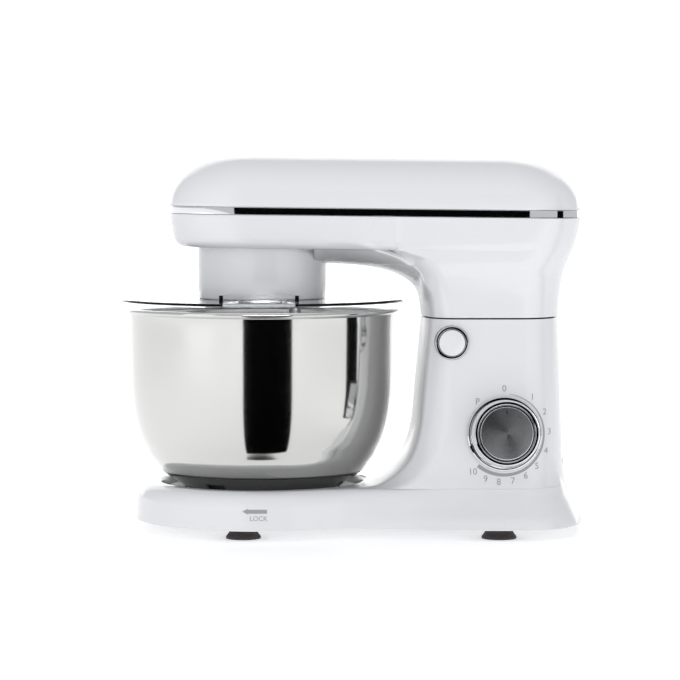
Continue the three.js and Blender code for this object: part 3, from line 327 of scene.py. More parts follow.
def loft(name, rings, cap_first=False, cap_last=False, sharp=40, weld=True):
    """A skin over closed outlines of equal length, facing out, open at its ends unless capped."""
    per = len(rings[0])
    vertices = np.vstack(rings)
    faces = []
    for k in range(len(rings) - 1):
        for i in range(per):
            j = (i + 1) % per
            faces.append((k * per + j, k * per + i, (k + 1) * per + i, (k + 1) * per + j))
    if cap_first:
        faces.append(range(per))
    if cap_last:
        faces.append(range(len(vertices) - 1, len(vertices) - per - 1, -1))
    return make(name, vertices, faces, sharp, weld)


def inset(outline, wall, rise=0.0):
    """An outline moved in by a wall and up by a rise."""
    flat = outline[:, :2]
    along_it = np.roll(flat, -1, axis=0) - np.roll(flat, 1, axis=0)
    normal = np.column_stack([-along_it[:, 1], along_it[:, 0]])
    normal /= np.maximum(np.linalg.norm(normal, axis=1, keepdims=True), 1e-9)
    area = np.sum(flat[:, 0] * np.roll(flat[:, 1], -1) - np.roll(flat[:, 0], -1) * flat[:, 1])
    moved = flat + normal * wall * (1 if area > 0 else -1)
    moved[:, 0] = np.clip(moved[:, 0], flat[:, 0].min() + wall, flat[:, 0].max() - wall)
    half = np.abs(flat[:, 1])
    moved[:, 1] = np.sign(flat[:, 1]) * np.clip(np.abs(moved[:, 1]), 0, np.maximum(half - 0.3 * wall, 0))
    return np.column_stack([moved, outline[:, 2] + rise])


def turned(name, profile, centre=(0, 0), segments=160, sharp=35):
    """A solid of revolution about Z from (radius, z) points; it closes on itself."""
    points = list(profile)
    angles = np.arange(segments) * 2 * math.pi / segments
    vertices, starts = [], []
    for radius, z in points:
        starts.append((len(vertices), radius < 1e-6))
        if radius < 1e-6:
            vertices.append((centre[0], centre[1], z))
        else:
            vertices += [(centre[0] + radius * math.cos(a), centre[1] + radius * math.sin(a), z)
                         for a in angles]
    faces = []
    closed = points[0][0] > 1e-6
    for k in range(len(points) if closed else len(points) - 1):
        (a, a_tip), (b, b_tip) = starts[k], starts[(k + 1) % len(points)]
        for i in range(segments):
            j = (i + 1) % segments
            if a_tip and b_tip:
                continue
            if a_tip:
                faces.append((a, b + i, b + j))
            elif b_tip:
                faces.append((a + i, a + j, b))
            else:
                faces.append((a + i, a + j, b + j, b + i))
    return make(name, vertices, faces, sharp)


def filleted(*corners, steps=7):
    """A profile with its corners rounded: each corner is (radius, z) or (radius, z, fillet)."""
    points = [np.array(c[:2], float) for c in corners]
    fillets = [c[2] if len(c) > 2 else 0 for c in corners]
    out = []
    for i, (p, fillet) in enumerate(zip(points, fillets)):
        if not fillet:
            out.append(tuple(p))
            continue
        before, after = points[i - 1] - p, points[(i + 1) % len(points)] - p
        la, lb = np.linalg.norm(before), np.linalg.norm(after)
        u, v = before / la, after / lb
        angle = math.acos(max(-1, min(1, float(u @ v))))
        reach = min(fillet / math.tan(angle / 2), la * 0.49, lb * 0.49)
        for t in np.linspace(0, 1, steps):
            q = p + u * reach * (1 - t) ** 2 + v * reach * t ** 2
            out.append(tuple(q))
    return out


def modify(piece, kind, **settings):
    """Adds a modifier, applies it and keeps the shading."""
    modifier = piece.modifiers.new(kind.lower(), kind)
    for key, value in settings.items():
        setattr(modifier, key, value)
    graph = bpy.context.evaluated_depsgraph_get()
    mesh = bpy.data.meshes.new_from_object(piece.evaluated_get(graph))
    piece.modifiers.clear()
    piece.data = mesh
    return piece


def boolean(piece, *tools, operation="DIFFERENCE", sharp=40):
    for tool in tools:
        modify(piece, "BOOLEAN", operation=operation, object=tool, solver="MANIFOLD")
        bpy.data.objects.remove(tool, do_unlink=True)
    piece.data.polygons.foreach_set("use_smooth", [True] * len(piece.data.polygons))
    piece.data.set_sharp_from_angle(angle=math.radians(sharp))
    return piece


def thicken(piece, wall=WALL, sharp=40):
    modify(piece, "SOLIDIFY", thickness=wall * MM, offset=-1.0)
    piece.data.set_sharp_from_angle(angle=math.radians(sharp))
    return piece


def place(piece, origin, direction):
    """Turns a piece made about +Z so that it stands on a point and faces a direction."""
    turn = Vector((0, 0, 1)).rotation_difference(Vector(direction))
    piece.data.transform(Matrix.Translation(Vector(origin) * MM) @ turn.to_matrix().to_4x4())
    return piece


def finish(piece, body, material, *nodes, slot=None):
    """Gives a piece its body and material, and says which CAD nodes it stands for; its record slot is not
    used.
    """
    piece.data.materials.clear()
    piece.data.materials.append(material)
    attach(piece, body)
    if nodes:
        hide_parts(*nodes)
    return piece


# ---------------------------------------------------------------- materials

def material(name, color, roughness, metallic=0.0, **more):
    """A Principled material; returns it with its node tree and shader."""
    made = bpy.data.materials.new(name)
    made.use_nodes = True
    tree = made.node_tree
    shader = tree.nodes["Principled BSDF"]
    shader.inputs["Base Color"].default_value = (*color, 1)
    shader.inputs["Roughness"].default_value = roughness
    shader.inputs["Metallic"].default_value = metallic
    for key, value in more.items():
        shader.inputs[key.replace("_", " ")].default_value = value
    return made, tree, shader


def node(tree, kind, **settings):
    made = tree.nodes.new(kind)
    for key, value in settings.items():
        if key in made.inputs:
            made.inputs[key].default_value = value
        else:
            setattr(made, key, value)
    return made


def noise_from(tree, scale, stretch=(1, 1, 1), detail=2.0):
    """Noise in object space, stretched along its axes."""
    where = node(tree, "ShaderNodeTexCoord")
    mapping = node(tree, "ShaderNodeMapping")
    mapping.inputs["Scale"].default_value = stretch
    made = node(tree, "ShaderNodeTexNoise", Scale=scale, Detail=detail)
    tree.links.new(where.outputs["Object"], mapping.inputs["Vector"])
    tree.links.new(mapping.outputs["Vector"], made.inputs["Vector"])
    return made


def vary(tree, source, target, low, high):
    """Drives a shader input between two values by a noise."""
    spread = node(tree, "ShaderNodeMapRange")
    spread.inputs["From Min"].default_value = 0.3
    spread.inputs["From Max"].default_value = 0.7
    spread.inputs["To Min"].default_value = low
    spread.inputs["To Max"].default_value = high
    tree.links.new(source.outputs["Fac"], spread.inputs["Value"])
    tree.links.new(spread.outputs["Result"], target)


def bump_from(tree, source, shader, strength, distance):
    bump = node(tree, "ShaderNodeBump", Strength=strength, Distance=distance)
    tree.links.new(source.outputs["Fac"], bump.inputs["Height"])
    tree.links.new(bump.outputs["Normal"], shader.inputs["Normal"])


def plastic(name, color, roughness, coat=0.0, grain=90.0, depth=0.00002):
    made, tree, shader = material(name, color, roughness, Coat_Weight=coat, Coat_Roughness=0.04)
    shader.inputs["Specular IOR Level"].default_value = 0.5
    skin = noise_from(tree, grain)
    vary(tree, skin, shader.inputs["Roughness"], roughness * 0.85, roughness * 1.2)
    bump_from(tree, skin, shader, 0.25, depth)
    return made


def brushed(name, color, roughness, stretch, scale=900.0, depth=0.000004, spread=0.35, metallic=1.0):
    """Metal with fine parallel scratches: the stretch is small along them and large across."""
    made, tree, shader = material(name, color, roughness, metallic)
    lines = noise_from(tree, scale, stretch, 3.0)
    vary(tree, lines, shader.inputs["Roughness"], roughness * (1 - spread), roughness * (1 + spread))
    bump_from(tree, lines, shader, 0.4, depth)
    return made


WHITE = plastic("white_gloss", (0.705, 0.709, 0.728), 0.22, coat=0.35, grain=60.0)
WHITE_SATIN = plastic("white_satin", (0.74, 0.745, 0.76), 0.5, grain=300.0)
BLACK = plastic("black_satin", (0.02, 0.02, 0.022), 0.45, grain=400.0)
RUBBER = plastic("rubber_black", (0.035, 0.028, 0.029), 0.6, grain=700.0, depth=0.0001)
NYLON = plastic("nylon_natural", (0.72, 0.70, 0.63), 0.5, grain=200.0)
BOARD = plastic("board_green", (0.03, 0.16, 0.07), 0.45, grain=500.0)
PRINT = plastic("grey_print", (0.30, 0.31, 0.33), 0.5, grain=800.0, depth=0.000005)
CHROME = brushed("chrome", (0.83, 0.84, 0.86), 0.04, (1, 1, 1), scale=150.0, depth=0.000002)
STEEL = brushed("bowl_steel", (0.66, 0.655, 0.64), 0.085, (1, 1, 60), scale=12.0, depth=0.000006, spread=0.15)
MACHINED = brushed("machined_steel", (0.55, 0.56, 0.57), 0.3, (1, 1, 12), scale=300.0)
CAST = brushed("cast_metal", (0.42, 0.43, 0.44), 0.5, (1, 1, 1), scale=400.0, depth=0.00006)
COPPER = brushed("copper_wire", (0.62, 0.27, 0.12), 0.32, (1, 1, 25), scale=60.0, depth=0.0001)


def painted_shade_below(made, height, color):
    """Paints shade into a material under a height: a darker base colour that stands in for the shade on the
    bowl's lower cone and its reflection of the dark recess.
    """
    tree = made.node_tree
    shader = tree.nodes["Principled BSDF"]
    where = node(tree, "ShaderNodeTexCoord")
    split = node(tree, "ShaderNodeSeparateXYZ")
    above = node(tree, "ShaderNodeMapRange")
    above.inputs["From Min"].default_value = (height - 0.3) * MM
    above.inputs["From Max"].default_value = (height + 0.3) * MM
    blend = node(tree, "ShaderNodeMix", data_type="RGBA")
    blend.inputs["A"].default_value = (*color, 1)
    blend.inputs["B"].default_value = shader.inputs["Base Color"].default_value
    tree.links.new(where.outputs["Object"], split.inputs[0])
    tree.links.new(split.outputs["Z"], above.inputs["Value"])
    tree.links.new(above.outputs["Result"], blend.inputs["Factor"])
    tree.links.new(blend.outputs["Result"], shader.inputs["Base Color"])


# Painted shade and painted reflection: the bowl's steel is coloured darker below 45.5 mm.
painted_shade_below(STEEL, 45.5, (0.30, 0.295, 0.285))
FINISH_OF_SLOT = {
    "white_gloss": WHITE, "white_matt": WHITE_SATIN, "chrome": CHROME, "bowl_steel": STEEL,
    "machined_steel": MACHINED, "cast_metal": CAST, "copper": COPPER, "rubber": RUBBER,
    "black_plastic": BLACK, "nylon": NYLON, "circuit_board": BOARD,
}


def clear_plastic():
    made, tree, shader = material(
        "clear_plastic", (0.98, 0.99, 0.995), 0.03, Transmission_Weight=1.0, IOR=1.22)
    vary(tree, noise_from(tree, 25.0), shader.inputs["Roughness"], 0.02, 0.05)
    return made


CLEAR = clear_plastic()


def radial_aluminium():
    """Turned aluminium: circular scratches, so that its shine fans out from the centre."""
    made, tree, shader = material("turned_aluminium", (0.72, 0.73, 0.75), 0.26, 1.0, Anisotropic=0.75)
    around = node(tree, "ShaderNodeTangent", direction_type="RADIAL", axis="Z")
    tree.links.new(around.outputs["Tangent"], shader.inputs["Tangent"])
    return made


# ---------------------------------------------------------------- base

def levels(low, high, count):
    """Heights bunched towards both ends."""
    return mix(low, high, (1 - np.cos(np.linspace(0, math.pi, count))) / 2)


def pad_ring(z, edge=0.0):
    radius = PAD_RADIUS - shoulder(z) - edge
    return ring(lambda x: pad_half(x, z) - edge, BOWL_X - radius, float(base_rear(z)) - edge, z,
                float(column_crease(BASE_TOP)) + 2)


def column_ring(z):
    return ring(lambda x: column_half(x, z), float(column_front(z)), float(base_rear(z)), z,
                float(column_crease(z)) + 2)


def base_shell():
    rounding = BASE_TOP - PAD_ROUNDING + PAD_ROUNDING * np.sin(np.linspace(0, 0.5 * math.pi, 15)[1:])
    pad = [FOOT_Z + 0.5, *np.linspace(FOOT_Z + 2, BASE_TOP - PAD_ROUNDING, 9), *rounding]
    rise = (COLUMN_TOP_Z - BASE_TOP) * np.linspace(0, 1, 46) ** 1.9
    rings = [pad_ring(FOOT_Z, 0.5), *map(pad_ring, pad), *[column_ring(z) for z in BASE_TOP + rise[1:]]]
    outer = loft("base_housing_shell", rings, cap_first=True, cap_last=True)
    lower = [(FOOT_Z, -2), (FOOT_Z + 6, 0), (BASE_TOP - 14, -1), (BASE_TOP - 8, -2), (BASE_TOP - 3, -WALL),
             (BASE_TOP, -WALL)]
    upper = BASE_TOP + (COLUMN_TOP_Z - BASE_TOP) * np.linspace(0.02, 1, 20) ** 1.5
    hollow = loft("base_hollow", [
        *[inset(pad_ring(z), WALL, drop) for z, drop in lower],
        *[inset(column_ring(z), WALL, -2) for z in upper],
        inset(column_ring(COLUMN_TOP_Z), WALL, 2)], cap_first=True, cap_last=True, weld=False)
    boolean(hollow, turned("socket_wall", [
        (0, SOCKET_FLOOR_Z - WALL), (SOCKET_RADIUS + 3.5, SOCKET_FLOOR_Z - WALL),
        (SOCKET_RADIUS + 3.5, BASE_TOP + 9), (0, BASE_TOP + 9)], (BOWL_X, 0)))
    return boolean(outer, hollow)


socket = turned("socket", [
    (0, SOCKET_FLOOR_Z), (SOCKET_RADIUS - 2.5, SOCKET_FLOOR_Z), (SOCKET_RADIUS - 1.2, SOCKET_FLOOR_Z + 0.8),
    (SOCKET_RADIUS, BASE_TOP - 2), (SOCKET_RADIUS + 0.6, BASE_TOP - 0.7),
    (SOCKET_RADIUS + 2, BASE_TOP + 0.02), (SOCKET_RADIUS + 2, BASE_TOP + 9), (0, BASE_TOP + 9)], (BOWL_X, 0))
base = boolean(base_shell(), socket)

knob_joint = joints["speed_knob_turn"]
KNOB_AXIS = Vector(knob_joint["axis"])
KNOB_AT = np.array(knob_joint["pos_m"]) / MM
bezel_low, bezel_high = box("dial_bezel")
KNOB_RADIUS = (bezel_high[0] - bezel_low[0]) / 2 - 0.6
button_low, button_high = box("release_button")
BUTTON_X, BUTTON_Z = (button_low[0] + button_high[0]) / 2, (button_low[2] + button_high[2]) / 2
BUTTON_RADIUS = (button_high[0] - button_low[0]) / 2
BUTTON_FACE_Y = button_low[1]


def upright(profile, name, segments=96):
    """A turned piece about its own Z axis."""
    return turned(name, profile, segments=segments)


def drill(name, radius, bottom, top, origin, direction):
    """A plain cylinder between two heights above a point, to cut with."""
    profile = [(0, bottom), (radius, bottom), (radius, top), (0, top)]
    return place(upright(profile, name), origin, direction)


dial_seat = drill("dial_seat", KNOB_RADIUS + 1, 0.2, 8, KNOB_AT, KNOB_AXIS)
dial_hole = drill("dial_hole", 7, -30, 12, KNOB_AT, KNOB_AXIS)
button_well = (BUTTON_X, BUTTON_FACE_Y + 5, BUTTON_Z)
button_hole = drill("button_hole", BUTTON_RADIUS + 3.2, -18, 14, button_well, NEAR_SIDE)
gland_low, gland_high = box("cord_gland")
GLAND_Z = (gland_low[2] + gland_high[2]) / 2
gland_hole = drill("gland_hole", 6.3, -15, 25, (gland_high[0] - 5, 0, GLAND_Z), (1, 0, 0))
boolean(base, dial_seat, dial_hole, button_hole, gland_hole)
finish(base, "base", WHITE, "base_housing", slot="white_gloss")

# ---------------------------------------------------------------- head


def neck_ring(z):
    front = BELLY_FRONT if z > ARCH_TOP else float(neck_front(z))
    split = float(second_crease(z)) + 2
    return sheared(ring(lambda x: neck_half(x, z), front, float(neck_rear(z)), z, split))


def arm_ring(z, edge=0.0):
    t = clamp01((HEAD_BOTTOM_Z + CORNER - z) / CORNER)
    back = CORNER * (1 - math.sqrt(1 - t * t)) + edge
    lean = back + front_lean(z)
    front = arm_half(np.zeros(1), z, lean, back)[1]

    def half(x):
        arm = arm_half(x, z, lean, back)[0]
        return mix(arm, soft_max(arm, neck_half(x, z), 4.0), smooth((x - BELLY_FRONT) / 30))

    return sheared(ring(half, front, float(neck_rear(z)) - edge, z, float(second_crease(z)) + 2))


def head_shell():
    arch = [*np.linspace(NECK_BOTTOM_Z, SEAM_Z + 25, 16), *levels(SEAM_Z + 25.5, ARCH_TOP, 22)[1:]]
    belly = ARCH_TOP + (HEAD_BOTTOM_Z - ARCH_TOP) * np.linspace(0, 1, 26)[1:] ** 1.2
    rounding = CORNER * (1 - np.cos(np.linspace(0, math.pi / 2, 15)))
    top = BAND_Z - 0.15
    arm = [*(HEAD_BOTTOM_Z + rounding), *np.linspace(HEAD_BOTTOM_Z + CORNER, top - 0.4, 9)[1:]]
    rings = [*map(neck_ring, [*arch, *belly]), *map(arm_ring, arm), arm_ring(top, 0.3)]
    outer = loft("head_housing_shell", rings, cap_first=True, cap_last=True)

    def lifted(z):
        return inset(neck_ring(z), WALL, WALL * float(smooth((z - SEAM_Z - 12) / 24)))

    hollow = loft("head_hollow", [
        inset(neck_ring(NECK_BOTTOM_Z), WALL, -2), *map(lifted, arch[2::2]), *map(lifted, belly[:-1:3]),
        *[inset(arm_ring(z), WALL, WALL) for z in (*arm[:16:3], *arm[16::2])],
        inset(arm_ring(top), WALL, WALL + 2)], cap_first=True, cap_last=True, weld=False)
    keep = turned("skirt_seat", [(0, 180), (SKIRT_RADIUS, 180), (SKIRT_RADIUS, HEAD_BOTTOM_Z + WALL + 1),
                                 (0, HEAD_BOTTOM_Z + WALL + 1)], (BOWL_X, 0))
    boolean(hollow, keep)
    skirt = turned("skirt", filleted(
        (0, SKIRT_BOTTOM_Z), (SKIRT_RADIUS - 0.7, SKIRT_BOTTOM_Z, 0.8), (SKIRT_RADIUS, HEAD_BOTTOM_Z + 2.6),
        (0, HEAD_BOTTOM_Z + 2.6)), (BOWL_X, 0), 200)
    hole = SKIRT_RADIUS - WALL
    bore = turned("skirt_bore", [(0, 170), (hole, 170), (hole, 240), (0, 240)], (BOWL_X, 0), 200)
    return boolean(boolean(boolean(outer, skirt, operation="UNION"), hollow), bore)


head = head_shell()
finish(head, "head", WHITE, "head_housing", slot="white_gloss")


def cover_ring(z, inset_x, inset_y):
    _, front, rear = arm_half(np.zeros(1), z, inset_x, inset_y, inset_x)
    return sheared(ring(lambda x: arm_half(x, z, inset_x, inset_y, inset_x)[0], front, rear, z, ARM_SPLIT_X))


def cover_shell():
    low = BAND_Z + BAND_HEIGHT + 0.15
    rings = [cover_ring(low, 0.3, 0.3), cover_ring(low + 0.4, 0, 0)]
    for a in np.linspace(0, math.pi / 2, 34)[1:]:
        z = low + 0.4 + (HEAD_TOP_Z - low - 0.4) * math.sin(a)
        rings.append(cover_ring(z, 50 * (1 - math.cos(a)), 45 * (1 - math.cos(a))))
    return thicken(loft("head_cover_shell", rings, cap_last=True))


finish(cover_shell(), "head", WHITE, "head_cover", slot="white_gloss")


def band():
    low, high = BAND_Z + 0.15, BAND_Z + BAND_HEIGHT - 0.15
    rings = []
    for z, edge in ((low, 0.25), (low + 0.25, 0), (mix(low, high, 0.5), 0), (high - 0.25, 0), (high, 0.25)):
        lean = front_lean(z) + edge
        front = HEAD_FRONT_X + lean
        rear = min(float(neck_rear(z)), HEAD_REAR_X) - edge
        outline = ring(lambda x: arm_half(x, z, lean, edge, edge)[0], front, rear, z, ARM_SPLIT_X)
        rings.append(sheared(outline))
    return thicken(loft("trim_band_ring", rings), 2.5)


finish(band(), "head", CHROME, "trim_band", slot="chrome")

# ---------------------------------------------------------------- bowl and guard

bowl_side = curve(
    (46, 80.4), (52.4, 84.8), (58.8, 89.6), (65.2, 92.8), (71.6, 96), (84.4, 100), (97.2, 102.4), (116, 104),
    (142, 104.6), (167.6, 105.2), (172, 105.6))
RIM_BEAD = 2.1
RIM_Z = BOWL_TOP_Z - RIM_BEAD
BEAD_RADIUS = BOWL_RIM_RADIUS - RIM_BEAD
BOWL_WALL = 1.0
BOWL_BOTTOM_Z = bowl_low[2]


def bowl_profile():
    heights = np.linspace(46, RIM_Z - 3, 60)
    cone = filleted((60, BOWL_BOTTOM_Z), (61.5, BOWL_BOTTOM_Z + 0.6, 0.5), (77, 43.6))[:-1]
    side = [(float(bowl_side(z)), z) for z in heights]
    outside = [(0, BOWL_BOTTOM_Z), *cone, (76.4, 43.1), (77.4, 43.9), *side]
    edge = [(BEAD_RADIUS + RIM_BEAD * math.cos(a), RIM_Z + RIM_BEAD * math.sin(a))
            for a in np.linspace(math.radians(-110), math.radians(195), 22)]
    inside = [(float(bowl_side(z)) - BOWL_WALL, z + 0.2) for z in heights[::-1]]
    floor = [(75.6, 44.2), (60.8, BOWL_BOTTOM_Z + 1.9), (58, BOWL_BOTTOM_Z + 1.1),
             (0, BOWL_BOTTOM_Z + 1.0)]
    return outside + edge + inside + floor


bowl = turned("mixing_bowl_shell", bowl_profile(), (BOWL_X, 0), 256, 30)
finish(bowl, "bowl", STEEL, "mixing_bowl", slot="bowl_steel")


def fan_prism(name, r0, r1, spread, z0, z1, steps=24):
    """A slice of a ring about the bowl's axis, centred on the knob's side."""
    angles = np.radians(np.linspace(-90 - spread, -90 + spread, steps))
    outline = [(r1 * math.cos(a), r1 * math.sin(a)) for a in angles]
    outline += [(r0 * math.cos(a), r0 * math.sin(a)) for a in angles[::-1]]
    count = len(outline)
    vertices = [(BOWL_X + x, y, z) for z in (z0, z1) for x, y in outline]
    faces = [[i, (i + 1) % count, (i + 1) % count + count, i + count] for i in range(count)]
    return make(name, vertices, faces + [range(count), range(count, 2 * count)])


GUARD_TOP_Z = 183.9
GUARD_LIP_Z = guard_low[2]
GUARD_HOLE_RADIUS = 48.6
MOUTH = (62, 100, 16)  # the filler mouth's inner and outer radius, and half its spread in degrees
guard = turned("splash_guard_shell", filleted(
    (GUARD_HOLE_RADIUS, GUARD_TOP_Z - 2), (GUARD_RADIUS - 2.2, GUARD_TOP_Z - 2, 1.0),
    (GUARD_RADIUS - 1.6, GUARD_LIP_Z), (GUARD_RADIUS, GUARD_LIP_Z), (GUARD_RADIUS, GUARD_TOP_Z, 2.2),
    (GUARD_HOLE_RADIUS, GUARD_TOP_Z)), (BOWL_X, 0), 220)
chute = boolean(fan_prism("chute", MOUTH[0] - 2, MOUTH[1] + 2, 17.5, GUARD_TOP_Z - 1, GUARD_TOP_Z + 6),
                fan_prism("chute_hole", *MOUTH, GUARD_TOP_Z - 3, GUARD_TOP_Z + 9))
boolean(guard, fan_prism("window", *MOUTH, GUARD_TOP_Z - 6, GUARD_TOP_Z + 4))
boolean(guard, chute, operation="UNION")
finish(guard, "head", CLEAR, "splash_guard", slot="clear_plastic")

# ---------------------------------------------------------------- knob, button and feet

KNOB_HEIGHT = 21.0


def on_knob(name, profile, segments=192):
    return place(upright(profile, name, segments), KNOB_AT, KNOB_AXIS)


bezel = on_knob("dial_bezel_ring", filleted(
    (KNOB_RADIUS - 4, 0.6), (KNOB_RADIUS + 0.6, 0.6), (KNOB_RADIUS + 0.6, 2.0, 0.5),
    (KNOB_RADIUS - 0.4, 2.6, 0.3), (KNOB_RADIUS - 4, 2.6)))
finish(bezel, "base", CHROME, "dial_bezel", slot="chrome")
knob = on_knob("speed_knob_body", filleted(
    (0, 3.2), (KNOB_RADIUS - 1.2, 3.2, 0.3), (KNOB_RADIUS - 1.6, 5.2, 0.4), (26.0, KNOB_HEIGHT - 3.2, 1.5),
    (25.0, KNOB_HEIGHT, 1.1), (22.5, KNOB_HEIGHT, 0.6), (21.9, KNOB_HEIGHT - 2.6, 0.4),
    (0, KNOB_HEIGHT - 2.6)))
finish(knob, "knob", CHROME, "speed_knob", slot="chrome")
knob_disc = upright(filleted(
    (0, KNOB_HEIGHT - 2.2), (20.7, KNOB_HEIGHT - 2.2, 0.2), (20.7, KNOB_HEIGHT - 0.4, 0.8),
    (0, KNOB_HEIGHT - 0.12)), "knob_disc", 192)
turn = Vector((0, 0, 1)).rotation_difference(KNOB_AXIS)
knob_disc.matrix_world = Matrix.Translation(Vector(KNOB_AT) * MM) @ turn.to_matrix().to_4x4()
finish(knob_disc, "knob", radial_aluminium(), "knob_face", slot="knob_aluminium")

DOT_REACH = 16.7
DOT_RADIUS = 1.1
dot_up = turn.inverted() @ Vector((0, 0, DOT_REACH))
dot = turned("knob_dot", [
    (0, KNOB_HEIGHT - 0.5), (DOT_RADIUS, KNOB_HEIGHT - 0.5), (DOT_RADIUS, KNOB_HEIGHT - 0.26),
    (0, KNOB_HEIGHT - 0.26)], (dot_up.x, dot_up.y), 32)
finish(place(dot, KNOB_AT, KNOB_AXIS), "knob", BLACK, slot="black_plastic")



def on_button(name, profile, segments=96):
    return place(upright(profile, name, segments), (BUTTON_X, BUTTON_FACE_Y, BUTTON_Z), NEAR_SIDE)


cap = on_button("release_button_cap", filleted(
    (0, -9), (BUTTON_RADIUS, -9, 0.5), (BUTTON_RADIUS, -0.9, 1.0), (6, 0, 8), (0, 0)))
finish(cap, "button", WHITE, slot="white_gloss")
stem = on_button("release_button_stem", [(0, -29.6), (5, -29.6), (5, -8), (0, -8)], 48)
finish(stem, "button", WHITE, "release_button", slot="white_gloss")
ring_low, ring_high = box("button_bezel")
ring_out = (ring_high[0] - ring_low[0]) / 2
surround = on_button("button_bezel_ring", filleted(
    (BUTTON_RADIUS + 0.4, -ring_high[1] + BUTTON_FACE_Y), (ring_out, -ring_high[1] + BUTTON_FACE_Y),
    (ring_out, BUTTON_FACE_Y - ring_low[1], 1.0), (BUTTON_RADIUS + 0.4, BUTTON_FACE_Y - ring_low[1], 0.7)))
finish(surround, "base", CHROME, "button_bezel", slot="chrome")

for name in ("foot_front_left", "foot_front_right", "foot_rear_left", "foot_rear_right"):
    low, high = box(name)
    radius = (high[0] - low[0]) / 2
    shape = filleted(
        (0, 2.4), (radius - 3.4, 1.6), (radius - 3.4, 0), (radius, 0, 0.4), (radius, 1.6, 0.5),
        (radius - 2.2, 4.4, 2), (radius - 3.0, FOOT_Z), (5.1, FOOT_Z), (5.1, 10.9), (7.5, 10.9),
        (6.2, high[2]), (0, high[2]))
    centre = ((low[0] + high[0]) / 2, (low[1] + high[1]) / 2)
    finish(turned(name + "_cup", shape, centre, 72), "base", RUBBER, name, slot="rubber")

# ---------------------------------------------------------------- printed marks


PRINT_DEPTH = 0.05


def side_y(x, z):
    """How far out the near side of the base is at a place."""
    half = column_half if z > BASE_TOP else pad_half
    return -float(half(np.array([float(x)]), z)[0])


def glyph(text, size):
    """The outline of a text as a thin solid, centred on its own origin, in millimetres."""
    data = bpy.data.curves.new("glyph_" + text, "FONT")
    data.body = text
    data.align_x, data.align_y = "CENTER", "CENTER"
    data.size = size
    data.extrude = PRINT_DEPTH
    data.resolution_u = 4
    holder = bpy.data.objects.new("glyph_" + text, data)
    bpy.context.scene.collection.objects.link(holder)
    mesh = bpy.data.meshes.new_from_object(holder.evaluated_get(bpy.context.evaluated_depsgraph_get()))
    bpy.data.objects.remove(holder, do_unlink=True)
    return mesh


def printed(name, mesh, x, z):
    """Lays a flat mesh on the near side of the base at a place, following its surface."""
    for vertex in mesh.vertices:
        u, v, w = vertex.co
        vertex.co = Vector((x + u, side_y(x + u, z + v) - 0.1 - w, z + v)) * MM
    work = bmesh.new()
    work.from_mesh(mesh)
    bmesh.ops.remove_doubles(work, verts=work.verts, dist=1e-7)
    bmesh.ops.recalc_face_normals(work, faces=work.faces)
    work.to_mesh(mesh)
    work.free()
    piece = bpy.data.objects.new(name, mesh)
    bpy.context.scene.collection.objects.link(piece)
    return finish(piece, "base", PRINT)


def ribbon(edges):
    """A flat band between pairs of edge points, as a thin solid mesh."""
    vertices = [(x, y, w) for low, high in edges for w in (-PRINT_DEPTH, PRINT_DEPTH) for x, y in (low, high)]
    faces = [(0, 1, 3, 2)]
    for k in range(0, len(vertices) - 4, 4):
        faces += [(k + a, k + b, k + b + 4, k + a + 4) for a, b in ((0, 1), (1, 3), (3, 2), (2, 0))]
    faces.append(tuple(len(vertices) - 4 + i for i in (0, 2, 3, 1)))
    mesh = bpy.data.meshes.new("ribbon")
    mesh.from_pydata(vertices, [], faces)
    return mesh


def on_dial(reach, degrees):
    return reach * math.sin(math.radians(degrees)), reach * math.cos(math.radians(degrees))


# Each mark's place round the dial in degrees from the top, and its distance from the centre.
DIAL = {"P": (-40, 32.5), "0": (0, 35), "1": (38, 36), "2": (63, 36), "3": (89, 36), "4": (113, 36),
        "5": (135, 36), "6": (153, 36.5), "7": (170, 37), "8": (187, 37.5), "9": (203, 38),
        "10": (220, 38.5)}
for text, (angle, reach) in DIAL.items():
    across, up = on_dial(reach, angle)
    printed("dial_mark_" + text, glyph(text, 7.0), KNOB_AT[0] + across, KNOB_AT[2] + up)
crescent_turn = np.linspace(8, 220, 90)
crescent_edge = mix(31.1, 33.6, (crescent_turn - 8) / 212)
crescent = ribbon([(on_dial(30.7, a), on_dial(edge, a)) for a, edge in zip(crescent_turn, crescent_edge)])
printed("dial_crescent", crescent, KNOB_AT[0], KNOB_AT[2])
LOCK_X = BOWL_X - 0.5
arrow = [(-11.6, 0.05), (-7.2, 2.3), (-7.1, 1.5), *[(x, 1.5) for x in np.linspace(-6, 7.5, 14)]]
printed("lock_word", glyph("LOCK", 5.2), LOCK_X, 17.9)
printed("lock_arrow", ribbon([((x, -h), (x, h)) for x, h in arrow]), LOCK_X - 1, 23.4)

# ---------------------------------------------------------------- finishes of the CAD nodes that stay

slot_of = {entry["node"]: entry["material_slot"] for entry in frame["record"]["subparts"]}
for name, piece in frame["nodes"].items():
    for material_slot in piece.material_slots:
        material_slot.material = FINISH_OF_SLOT.get(slot_of[name], material_slot.material)

# ---------------------------------------------------------------- stage, light and camera


def plane(name, width, height, at, turn, shade):
    mesh = bpy.data.meshes.new(name)
    w, h = width / 2 * MM, height / 2 * MM
    mesh.from_pydata([(-w, -h, 0), (w, -h, 0), (w, h, 0), (-w, h, 0)], [], [(0, 1, 2, 3)])
    made = bpy.data.objects.new(name, mesh)
    made.location = Vector(at) * MM
    made.rotation_euler = [math.radians(t) for t in turn]
    mesh.materials.append(shade)
    bpy.context.scene.collection.objects.link(made)


def light(name, at, aim, width, height, watts):
    data = bpy.data.lights.new(name, "AREA")
    data.shape = "RECTANGLE"
    data.size, data.size_y = width * MM, height * MM
    data.energy = watts
    made = bpy.data.objects.new(name, data)
    made.location = Vector(at) * MM
    made.rotation_euler = (Vector(aim) - Vector(at)).to_track_quat("-Z", "Y").to_euler()
    made.visible_glossy = False
    bpy.context.scene.collection.objects.link(made)


